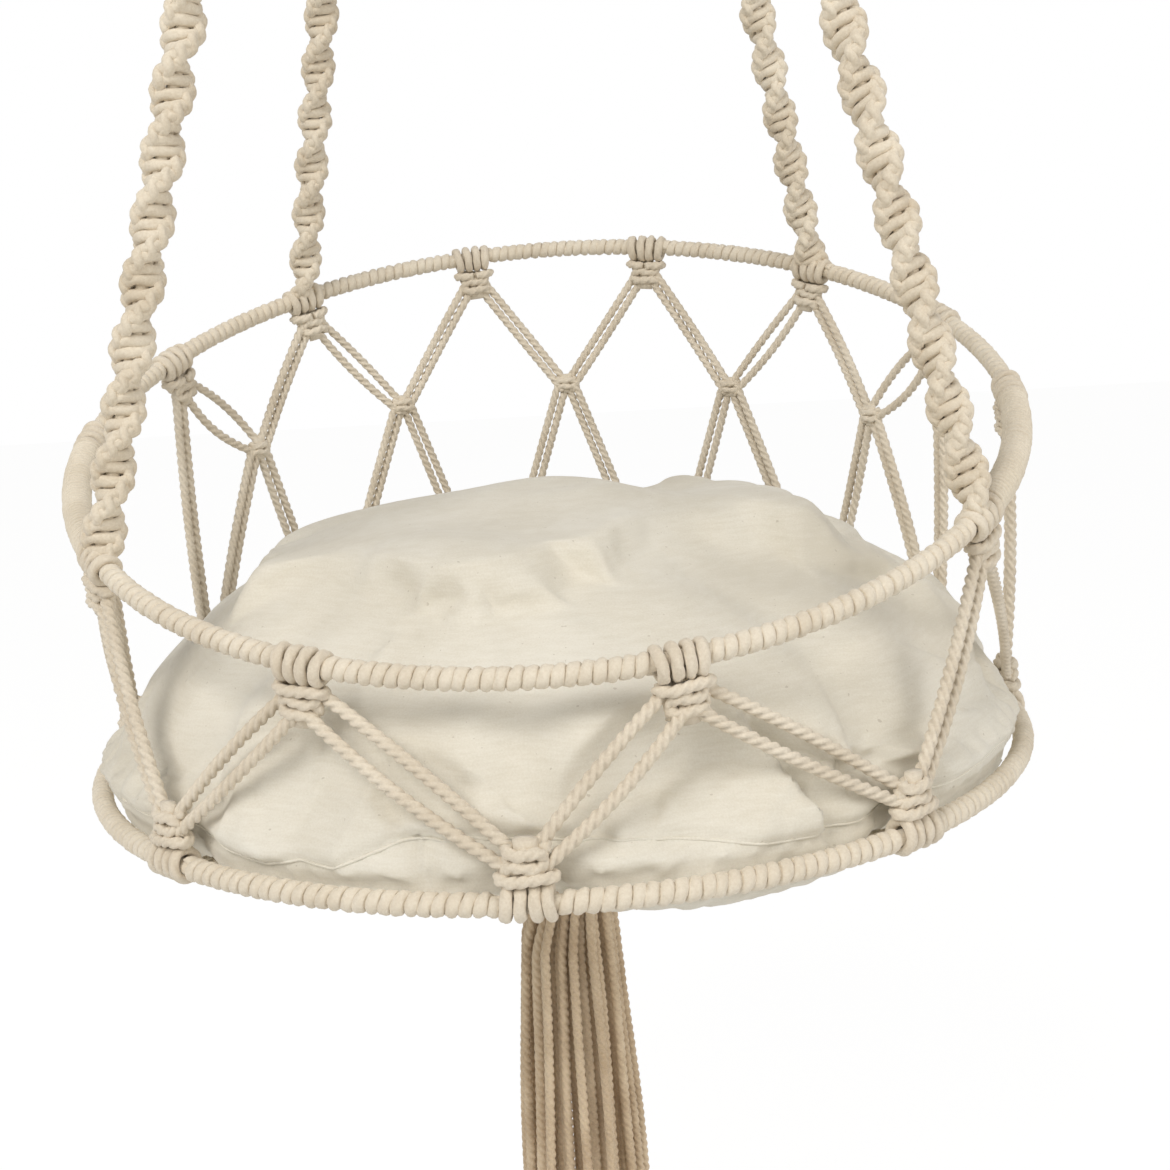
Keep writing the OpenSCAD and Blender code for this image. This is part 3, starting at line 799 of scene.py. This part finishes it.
cords = Cords()
for row in (-1.5, -0.5, 0.5, 1.5):
    for layer in (0, 1):
        over = np.array([row*CORD_STEP, 0, -math.sqrt(RING_R**2 - (row*CORD_STEP)**2)])
        angle = np.linspace(0, np.pi, 17)
        lay = hanger_lay_r(layer)
        top = over + np.stack([0*angle, -lay*np.cos(angle), lay*np.sin(angle)], 1)
        ends = []
        for side in (-1, 1):
            az = (STRAP_FRONT if side < 0 else STRAP_BACK)*np.sign(row)
            d = unit(APEX - strap_knot(az))
            beside = np.array([(abs(row) - 1)*np.sign(row)*CORD_STEP, side*(layer - 0.5)*CORD_STEP, 0])
            foot = strap_head(az) + beside - d*np.dot(d, beside)
            bundle = np.array([row*GRID_STEP, side*(layer + 0.5)*GRID_STEP, 0])
            ends.append([
                foot - d*HANGER_TUCK, foot, (foot + bundle + UP*WRAP_BOTTOM)/2, bundle + UP*WRAP_BOTTOM,
                bundle + UP*(WRAP_TOP + WRAP_BOTTOM)/2, bundle + UP*WRAP_TOP])
        line = np.vstack([rounded(ends[0]), rounded(np.vstack([ends[0][-1], top[0]])), top,
                          rounded(np.vstack([top[-1], ends[1][-1]])), rounded(ends[1])[::-1]])
        keep = np.concatenate([[True], np.linalg.norm(np.diff(line, axis=0), axis=1) > SAME_PLACE])
        cords.run(even(line[keep]), CORD_R, phase=row + layer)
cords.piece("hanger_cord_bundle", "hammock", CORD, "cotton_cord", "hanger_loops", "hanger_cords")

bundle_r = math.sqrt(2)*1.5*GRID_STEP + CORD_R
cords = Cords()
angle = np.linspace(0, 2*np.pi*WRAP_TURNS, WRAP_TURNS*40 + 1)
spoke = np.stack([np.cos(angle), np.sin(angle), 0*angle], 1)
drop_z = WRAP_TOP - CORD_R - GRID_STEP*angle/(2*np.pi)
cords.run(spoke*(bundle_r + GAP + CORD_R) + UP*drop_z[:, None], CORD_R*GATHER_CORD_SHARE, spoke)
cords.piece("gathering_wrap_cord", "hammock", WRAPPING, "cotton_cord", "gathering_wrap")


# Tassel: free strands that fan out a little and hang in slight waves

tassel_top_r = BASE_KNOT_R - CORD_R/2
clear_r = BASE_KNOT_R + GAP
tassel_end = -DROP - SAG - TASSEL_L
STRAND_R = 2.38*MM
STRAND_WAVE = 0.7*MM
STRAND_SWAY = 0.4*MM
EVEN_SHARE = 0.92
TASSEL_LEAN = -3.2*MM
TASSEL_WIDEN_SHARE = 0.15
GOLDEN_TURN = 137.508
strand_shares = np.sqrt((np.arange(STRANDS) + 0.5)/STRANDS)
strand_turns = np.radians(GOLDEN_TURN*np.arange(STRANDS))
strand_ranks = np.argsort(np.argsort(strand_shares*np.sin(strand_turns)))
for i in range(STRANDS):
    way = np.array([math.sin(strand_turns[i]), -math.cos(strand_turns[i]), 0])
    spread = strand_shares[i]
    near_axis = max(0, spread*tassel_top_r - CORD_R)
    top_z = -DROP - SAG - math.sqrt(clear_r**2 - near_axis**2) - GAP
    t = np.linspace(0, 1, 34)[:, None]
    reach = tassel_top_r + (TASSEL_R - tassel_top_r)*(1 - (1 - t)**2)
    fall = way*spread*reach + UP*(top_z + (tassel_end - top_z)*t)
    beside = EVEN_SHARE*(2*(strand_ranks[i] + 0.5)/STRANDS - 1 - spread*way[0])
    fall[:, :1] += (beside*reach + TASSEL_WIDEN_SHARE*fall[:, :1] + TASSEL_LEAN)*np.minimum(1, 9*t)
    other = np.cross(way, UP)
    wave = np.sin(2*np.pi*(1.3*t + 0.13*i))*np.minimum(1, 4*t)
    sideways = np.sin(2*np.pi*(0.9*t + 0.29*i))*np.minimum(1, 4*t)
    path = fall + way*(STRAND_WAVE*wave) + other*(STRAND_SWAY*sideways)
    path = even(path)
    strand = Cords().run(path, STRAND_R, phase=i, ply=LOOSE_PLY_SHARE)
    strand = strand.piece(f"tassel_strand_{i + 1:02d}", "tassel", TASSEL, "tassel_cord", "tassel")


# Cushion: a canvas cover blown up inside the basket, against its net and hoops

CROWN_POWER = 2.3
BELLY_FLAT_SHARE = 0.11
EDGE_AT_KNOT = 189*MM
EDGE_BETWEEN = 200*MM
EDGE_EASE_AZ = 7
SKIRT_IN = np.array([1.5, 4, 7, 13, 25, 47, 77])*MM
SKIRT_LOW = np.array([8, 0, -8, -14, -18, -20.5, -26])*MM
SKIRT_ON_CORDS = 3*MM
SAG_AZ = [-180, -92, -70, -41, -20, 0, 20, 41, 70, 92, 180]
SAG_SHARES = [0.5, 0.6, 0.8, 0.6, 0.35, 0.5, 1, 0.8, 0.8, 0.6, 0.5]
COVER_TALL_SHARE = 0.97
COVER_VOXEL = 4.7*MM
COVER_FRAMES = 24
COVER_CAP = 9*MM
COVER_PRESSURE = 3
COVER_SLACK_SHARE = 0.12
CROWN_HOLD_SHARE = 0.25
SKIRT_HOLD_SHARE = 0.8
SKIRT_FROM_SHARE = 0.85
COVER_DENSITY = 0.003
SEAM_BAND = 5*MM
KNOT_SKIN = 1.8*MM
KNOT_ROOM = KNOT_R + KNOT_SKIN
LUMP = 1.5*MM
LUMP_FROM = 30*MM
LUMP_WAVES = 28
CAGE_STEP = 6*MM
CAGE_SKIN = 1*MM
COVER_SKIN = 2*MM
STOP_STEP = 4*MM
FINE_STEP = 2*MM
HOOP_ROOM = 0.2*MM
CLEAR_OF_NET = 0.5*MM
RISE_SHARE = 0.35
BULGE_R = 45*MM
FOLD_BULGE_R = 7*MM
HOOP_BULGE_R = 14*MM
NEAR_AZ = math.radians(40)
LIFT_ROOM = 2.2*MM

# The seam's height above the lower hoop, by azimuth
SEAM_AZ = [-180, -60, -42, -35, -28.5, -24, -20, -13, -5, 10, 17, 24, 31, 42, 60, 180]
SEAM_HEIGHTS = np.array([12, 12, 10, 8.5, 5.5, 9, 8, 17, 18, 15.5, 12, 8, 6.5, 9, 12, 12])*MM
SEAM_CORD = 0.55*MM
RAY_FROM = 260*MM
SEAM_DRAWN = 2.2*MM
SEAM_WIDE = 2.2*MM
LIP = 1.5*MM
LIP_ABOVE = 7*MM
LIP_WIDE = 5*MM
FOLDS_FROM = 120*MM
FOLDS_EASE = 40*MM

# Sharp folds: azimuths in degrees and heights along each, then how far its near side rises and its
# far side falls, and its width. Heights, moves and widths are in millimetres
FOLDS = [
    ([(25, 46), (27, 36), (28.5, 27), (30, 17), (31, 4)], 3, 9, 8),
    ([(31.2, 5), (32.7, 12), (35, 16)], -2.5, 2.5, 5),
    ([(36, 21.5), (40, 25.5), (45, 27), (50, 26.5)], 3, 2.5, 6),
    ([(52, 32), (58, 29), (67, 24)], 2.5, 2.5, 7),
    ([(57, 52), (63, 42), (72, 36)], 2, 2.5, 8),
    ([(-13, 22), (-10.5, 17), (-10.2, 9), (-9.8, 2)], -5, 3, 5),
    ([(-52, 30), (-47, 18), (-45, 8)], 2, 3, 6),
    ([(-70, 40), (-62, 26), (-56, 15)], 2, 3, 8),
]


def canvas():
    """Unbleached cloth: threads to and fro, uneven yarns, soft mottling and a few specks."""
    material, shader, v = finish(
        "canvas", Roughness=0.9, Sheen_Weight=0.2, Sheen_Roughness=0.5, Specular_IOR_Level=0.2)
    mottle = v.noise(14, 4)
    yarn = v.noise(90, 4, 0.6, (1, 1, 9))
    weave = v.noise(1400, 2, 0.6)
    tone = (0.5*mottle + 0.25*yarn + 0.25*weave).between(0.32, 0.68)
    speck = v.noise(430, 1, 0.4).between(0.765, 0.785)
    cloth = tone.mixed((0.70, 0.655, 0.55), (0.83, 0.80, 0.715))
    bump = v.node("ShaderNodeBump", {}, Strength=0.3, Distance=YARN_DEEP, Height=0.6*weave + 0.4*yarn)
    feed(shader, Base_Color=(0.35*speck).mixed(cloth, (0.36, 0.30, 0.22)), Normal=bump)
    return material


def eased(az, reach):
    """0 at the lower hoop's knots, 1 from reach degrees away."""
    gaps = np.abs((az[:, None] - np.array(base_knot_angles) + 180) % 360 - 180).min(1)
    ease = np.clip(gaps/reach, 0, 1)
    return ease**2*(3 - 2*ease)


def edge_reach(az):
    """Distance of the cushion's edge from the middle: out to the hoop between the knots, less at them."""
    return EDGE_AT_KNOT + (EDGE_BETWEEN - EDGE_AT_KNOT)*eased(az, EDGE_EASE_AZ)


def cover_shape():
    """The cover before it is blown up, remeshed evenly."""
    around = np.linspace(-180, 180, 241)[:-1]
    edge = edge_reach(around)
    lumps = [(rng.normal(0, LUMP_WAVES, 3), rng.uniform(0, 6)) for _ in range(9)]
    rows = []
    for q in np.radians(np.arange(85, -1, -5)):
        tall = COVER_TALL_SHARE*(CUSHION_CROWN - SEAM_H)*math.sin(q)**(2/CROWN_POWER)
        rows.append((edge*math.cos(q)**(2/CROWN_POWER), SEAM_H + tall + 0*edge))
    sag = eased(around, EDGE_EASE_AZ)*np.interp(around, SAG_AZ, SAG_SHARES)
    for inwards, low in zip(SKIRT_IN, SKIRT_LOW):
        on_cords = -SAG*(1 - (edge - inwards)/HOOP_R) + SKIRT_ON_CORDS
        rows.append((edge - inwards, on_cords + (np.minimum(low, on_cords) - on_cords)*sag))
    rows.append((BELLY_FLAT_SHARE*CUSHION_R + 0*edge, -SAG + BASE_KNOT_R + GAP + 0*edge))
    wide, tall = np.array(rows).swapaxes(0, 1)
    rings = np.stack([wide*np.sin(np.radians(around)), -wide*np.cos(np.radians(around)), tall], -1)
    uneven_top = LUMP*sum(np.sin(rings @ wave + start) for wave, start in lumps)
    rings[..., 2] += uneven_top*np.clip((tall - SEAM_H)/LUMP_FROM, 0, 1) - DROP
    body = Cords().skin(rings[::-1]).made("cushion_shape")
    scene.collection.objects.link(body)
    remesh = body.modifiers.new("even", "REMESH")
    remesh.mode = "VOXEL"
    remesh.voxel_size = COVER_VOXEL
    mesh = worked_out(body)
    bpy.data.objects.remove(body)
    return mesh


def worked_out(thing):
    """The mesh of an object with its modifiers carried out."""
    bpy.context.view_layer.update()
    return bpy.data.meshes.new_from_object(thing.evaluated_get(bpy.context.evaluated_depsgraph_get()))


def points_of(mesh):
    places = np.empty(len(mesh.vertices)*3)
    mesh.vertices.foreach_get("co", places)
    return places.reshape(-1, 3)


def blown_up(cover, cage):
    """Fills the cover with air inside the cage and keeps the shape that it takes."""
    start = points_of(cover.data)
    az = np.degrees(np.arctan2(start[:, 0], -start[:, 1]))
    seam = cover.vertex_groups.new(name="seam")
    near_seam = np.abs(start[:, 2] + DROP - SEAM_H) < SEAM_BAND
    far_out = np.hypot(start[:, 0], start[:, 1])
    held = np.flatnonzero(near_seam & (far_out > edge_reach(az) - 3*SEAM_BAND))
    seam.add([int(i) for i in held], 1.0, "REPLACE")
    firm = cover.vertex_groups.new(name="firm")
    firm.add([int(i) for i in np.flatnonzero(start[:, 2] + DROP > SEAM_H)], CROWN_HOLD_SHARE, "REPLACE")
    firm.add([int(i) for i in held], 1.0, "REPLACE")
    below = start[:, 2] + DROP < SEAM_H - SEAM_BAND
    low = np.flatnonzero(below & (far_out > SKIRT_FROM_SHARE*HOOP_R))
    seam.add([int(i) for i in low], SKIRT_HOLD_SHARE, "REPLACE")
    cage.modifiers.new("stop", "COLLISION")
    cage.collision.thickness_outer = CAGE_SKIN
    cage.collision.cloth_friction = 4
    cloth = cover.modifiers.new("cloth", "CLOTH")
    hand = cloth.settings
    hand.quality = 6
    hand.tension_stiffness = 14
    hand.compression_stiffness = 8
    hand.shear_stiffness = 4
    hand.bending_stiffness = 0.1
    hand.air_damping = 2
    hand.use_pressure = True
    hand.uniform_pressure_force = COVER_PRESSURE
    hand.vertex_group_mass = "seam"
    hand.vertex_group_shrink = "firm"
    hand.fluid_density = COVER_DENSITY
    hand.shrink_min = -COVER_SLACK_SHARE
    hand.shrink_max = 0
    hand.effector_weights.gravity = 0
    cloth.collision_settings.distance_min = COVER_SKIN
    cloth.collision_settings.collision_quality = 3
    for moment in range(1, COVER_FRAMES + 1):
        scene.frame_set(moment)
    end = points_of(worked_out(cover))
    cover.modifiers.clear()
    scene.frame_set(1)
    move = end - start
    far = np.linalg.norm(move, axis=1, keepdims=True)
    kept = np.minimum(1, COVER_CAP/np.maximum(far, GAP))
    cover.data.vertices.foreach_set("co", (start + move*kept).ravel())


def cage_of_net():
    """Plain tubes along the net's cords and both hoops."""
    cage = Cords()
    for line in basket_lines:
        cage.run(even(line, CAGE_STEP), NET_CORD, sides=6, ply=0)
    whole = np.linspace(0, 360, 181)
    for hoop in (RIM, BASE):
        cage.run(hoop[0](whole), WRAP_R, sides=8, ply=0)
    for knot in basket_knots:
        cage.run(knot + UP*np.array([[-KNOT_R], [0], [KNOT_R]]), KNOT_ROOM, sides=8, ply=0)
    cage = cage.made("cage")
    scene.collection.objects.link(cage)
    return cage


def kept_clear(places):
    """Moves points that lie in a net cord or hoop out of it, inwards."""
    lines = [(even(line, FINE_STEP), NET_CORD) for line in basket_lines]
    lines += [(hoop[0](np.linspace(0, 360, 721)), WRAP_R + HOOP_ROOM) for hoop in (RIM, BASE)]
    tall = UP*np.linspace(-KNOT_R, KNOT_R, 5)[:, None]
    lines += [(knot + tall, KNOT_ROOM) for knot in basket_knots]
    tree = KDTree(sum(len(line) for line, radius in lines))
    radii = []
    for line, radius in lines:
        for spot in line:
            tree.insert(spot, len(radii))
            radii.append(radius)
    tree.balance()
    for i, place in enumerate(places):
        spot, index, away = tree.find(place)
        room = radii[index] + CLEAR_OF_NET
        if away < room:
            inwards = unit(np.array([-spot[0], -spot[1], RISE_SHARE*HOOP_R]))
            places[i] = np.array(spot) + unit(place - np.array(spot) + 2*room*inwards)*room
    return places


def pressed(places, bulge_r):
    """Holds the cover's side inside the net: against each cord and hoop, round between them."""
    far = np.hypot(places[:, 0], places[:, 1])
    az = np.arctan2(places[:, 0], -places[:, 1])
    most = np.full(len(places), np.inf)
    stops = [(even(line, STOP_STEP), FRONT_CORD, bulge_r) for line in front_lines]
    stops += [(even(line, STOP_STEP), NET_CORD + LIFT_ROOM, bulge_r) for line in side_lines]
    tall = UP*np.linspace(-KNOT_R, KNOT_R, 5)[:, None]
    stops += [(knot + tall, KNOT_ROOM, bulge_r) for knot in basket_knots]
    for line, radius, round_r in stops:
        line_az = np.arctan2(line[:, 0], -line[:, 1])
        middle = line_az[len(line)//2]
        near = np.flatnonzero(np.abs((az - middle + np.pi) % (2*np.pi) - np.pi) < NEAR_AZ)
        across = (az[near, None] - line_az + np.pi) % (2*np.pi) - np.pi
        away = (across*HOOP_R)**2 + (places[near, 2:] - line[:, 2])**2
        at = away.argmin(1)
        room = np.hypot(line[at, 0], line[at, 1]) - radius - CLEAR_OF_NET
        most[near] = np.minimum(most[near], room + away[np.arange(len(near)), at]/(2*round_r))
    tall = places[:, 2] + DROP
    most = np.minimum(most, HOOP_R - WRAP_R - CLEAR_OF_NET + tall**2/(2*HOOP_BULGE_R))
    return places*np.stack([np.minimum(1, most/np.maximum(far, MM))]*2 + [np.ones(len(far))], 1)


def fold_move(flat, line, rise, fall, width):
    """How far a fold moves each point of the unrolled side of the cushion, outwards."""
    corners = np.array([(math.radians(az)*HOOP_R, tall*MM) for az, tall in line])
    run = np.concatenate([[0], np.cumsum(np.linalg.norm(np.diff(corners, axis=0), axis=1))])
    best = np.full(len(flat), np.inf)
    side = np.zeros(len(flat))
    at = np.zeros(len(flat))
    for a, b, begun, ended in zip(corners, corners[1:], run, run[1:]):
        t = np.clip((flat - a) @ (b - a)/((b - a) @ (b - a)), 0, 1)
        off = flat - a - t[:, None]*(b - a)
        away = np.linalg.norm(off, axis=1)
        nearer = away < best
        best[nearer] = away[nearer]
        side[nearer] = ((b - a)[0]*off[:, 1] - (b - a)[1]*off[:, 0])[nearer]
        at[nearer] = ((begun + t*(ended - begun))/run[-1])[nearer]
    drop = np.exp(-(best/(width*MM))**2)*np.sqrt(np.sin(np.pi*np.clip(at, 0.04, 0.96)))
    return np.where(side < 0, rise, -fall)*MM*drop


def sewn(places):
    """Draws the cover in along its seam and pushes its folds in and out."""
    az = np.degrees(np.arctan2(places[:, 0], -places[:, 1]))
    flat = np.stack([np.radians(az)*HOOP_R, places[:, 2] + DROP], 1)
    above = flat[:, 1] - np.interp(az, SEAM_AZ, SEAM_HEIGHTS)
    move = LIP*np.exp(-((above - LIP_ABOVE)/LIP_WIDE)**2) - SEAM_DRAWN*np.exp(-(above/SEAM_WIDE)**2)
    for fold in FOLDS:
        move += fold_move(flat, *fold)
    out = places*[1, 1, 0]
    far = np.linalg.norm(out, axis=1, keepdims=True)
    near_edge = np.clip((far - FOLDS_FROM)/FOLDS_EASE, 0, 1)
    return places + out/np.maximum(far, MM)*(move[:, None]*near_edge)


def seam_cord(mesh):
    """The seam's line on the cover, as a thin cord."""
    tree = BVHTree.FromPolygons([v.co for v in mesh.vertices], [p.vertices for p in mesh.polygons])
    line = []
    for az in np.arange(-180, 180.5, 1.0):
        out = Vector((math.sin(math.radians(az)), -math.cos(math.radians(az)), 0))
        tall = float(np.interp(az, SEAM_AZ, SEAM_HEIGHTS)) - DROP
        spot = tree.ray_cast(out*RAY_FROM + Vector((0, 0, tall)), -out)[0]
        line.append(np.array(spot))
    return Cords().run(even(rounded(line, 4), FINE_STEP), SEAM_CORD, sides=6, ply=0).made("seam").data


scene = bpy.context.scene
CANVAS = canvas()
cover = bpy.data.objects.new("cushion_cover", cover_shape())
cover.data.vertices.foreach_set("co", pressed(points_of(cover.data), BULGE_R).ravel())
scene.collection.objects.link(cover)
cage = cage_of_net()
blown_up(cover, cage)
bpy.data.objects.remove(cage)
finer = cover.modifiers.new("finer", "SUBSURF")
finer.levels = 1
mesh = worked_out(cover)
bpy.data.objects.remove(cover)
shape = pressed(sewn(pressed(points_of(mesh), BULGE_R)), FOLD_BULGE_R)
mesh.vertices.foreach_set("co", kept_clear(shape).ravel())
mesh.update()
both = bmesh.new()
both.from_mesh(mesh)
both.from_mesh(seam_cord(mesh))
both.to_mesh(mesh)
both.free()
for polygon in mesh.polygons:
    polygon.use_smooth = True
cushion = dressed(
    bpy.data.objects.new("cushion_cover", mesh), "cushion", CANVAS, "canvas",
    "cushion_top_panel", "cushion_bottom_panel", "cushion_filling")
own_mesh(cushion)


# Stage, light and camera

def seen_directly(v):
    """1 for rays from the camera, also by way of metal or glass, and 0 for the others."""
    rays = v.node("ShaderNodeLightPath").socket.node.outputs
    return sum((Value(v.tree, rays[kind]) for kind in ("Is Glossy Ray", "Is Transmission Ray")),
               Value(v.tree, rays["Is Camera Ray"]))


def white_ground():
    """A floor that the camera sees nearly white, with the object's shadow left on it."""
    material, shader, v = finish("white_ground", Roughness=0.9, Specular_IOR_Level=0.1)
    tone = v.noise(3, 2).between(0.2, 0.8)
    feed(shader, Base_Color=tone.mixed((0.90, 0.90, 0.89), (0.93, 0.93, 0.92)))
    tree = material.node_tree
    glow = v.node("ShaderNodeEmission", {}, Color=(1, 1, 1, 1), Strength=WHITE_GLOW)
    share = WHITE_SHARE*seen_directly(v)
    shown = v.node("ShaderNodeMixShader", {}, _0=share, _1=Value(tree, shader.outputs[0]), _2=glow)
    tree.links.new(shown.socket, tree.nodes["Material Output"].inputs["Surface"])
    return material


WHITE_GLOW = 1.09
WHITE_SHARE = 0.85
FLOOR_BELOW = 6*MM
FLOOR_REACH = 6.0
floor_z = tassel_end - FLOOR_BELOW
floor_signs = ((-1, -1), (1, -1), (1, 1), (-1, 1))
floor_mesh = bpy.data.meshes.new("floor")
floor_mesh.from_pydata(
    [(x*FLOOR_REACH, y*FLOOR_REACH, floor_z) for x, y in floor_signs], [], [(0, 1, 2, 3)])
floor = bpy.data.objects.new("floor", floor_mesh)
scene.collection.objects.link(floor)
floor_mesh.materials.append(white_ground())

scene.view_settings.view_transform = "Standard"
world = bpy.data.worlds.new("studio")
scene.world = world
world.use_nodes = True
sky = world.node_tree
light = sky.nodes["Background"]
light.inputs["Color"].default_value = (1, 0.985, 0.96, 1)
light.inputs["Strength"].default_value = 0.38
v = Value(sky, None)
shown = v.node(
    "ShaderNodeMixShader", {}, _0=seen_directly(v), _1=Value(sky, light.outputs[0]),
    _2=v.node("ShaderNodeBackground", {}, Color=(1, 1, 1, 1), Strength=1.0))
sky.links.new(shown.socket, sky.nodes["World Output"].inputs["Surface"])


def softbox(name, place, size, power):
    """A square light aimed at the basket."""
    lamp = bpy.data.lights.new(name, "AREA")
    lamp.size = size
    lamp.energy = power
    lamp.color = (1, 0.97, 0.93)
    lit = bpy.data.objects.new(name, lamp)
    lit.location = place
    lit.rotation_euler = (Vector(BASKET) - Vector(place)).to_track_quat("-Z", "Y").to_euler()
    scene.collection.objects.link(lit)


BASKET = (0, 0, -0.82)
KEY_PLACE = (-0.8, -1.3, 0.5)
KEY_SIZE = 1.1
KEY_POWER = 21
FILL_PLACE = (1.3, -0.9, -0.1)
FILL_SIZE = 1.2
FILL_POWER = 10
softbox("key_light", KEY_PLACE, KEY_SIZE, KEY_POWER)
softbox("fill_light", FILL_PLACE, FILL_SIZE, FILL_POWER)

# The photograph's camera, measured from the lower hoop's middle
PHOTO_PX = 1170
FOCAL_PX = 1477.4
SENSOR = 36
CAM_PLACE = Vector((47.5*MM, -644.1*MM, 190.5*MM - DROP))
CAM_PITCH = math.radians(11.09)
CAM_YAW = math.radians(-3.02)
CAM_ROLL = math.radians(-3.39)
forward = Vector((
    math.sin(CAM_YAW)*math.cos(CAM_PITCH), math.cos(CAM_YAW)*math.cos(CAM_PITCH), -math.sin(CAM_PITCH)))
right = forward.cross(Vector((0, 0, 1))).normalized()
upright = right.cross(forward)
turned = right*math.cos(CAM_ROLL) + upright*math.sin(CAM_ROLL)
upright = upright*math.cos(CAM_ROLL) - right*math.sin(CAM_ROLL)
lens = bpy.data.cameras.new("camera")
lens.sensor_width = SENSOR
lens.lens = FOCAL_PX/PHOTO_PX*SENSOR
lens.clip_start = 0.02
camera = bpy.data.objects.new("camera", lens)
camera.matrix_world = Matrix((turned, upright, -forward)).transposed().to_4x4()
camera.location = CAM_PLACE
scene.collection.objects.link(camera)
scene.camera = camera
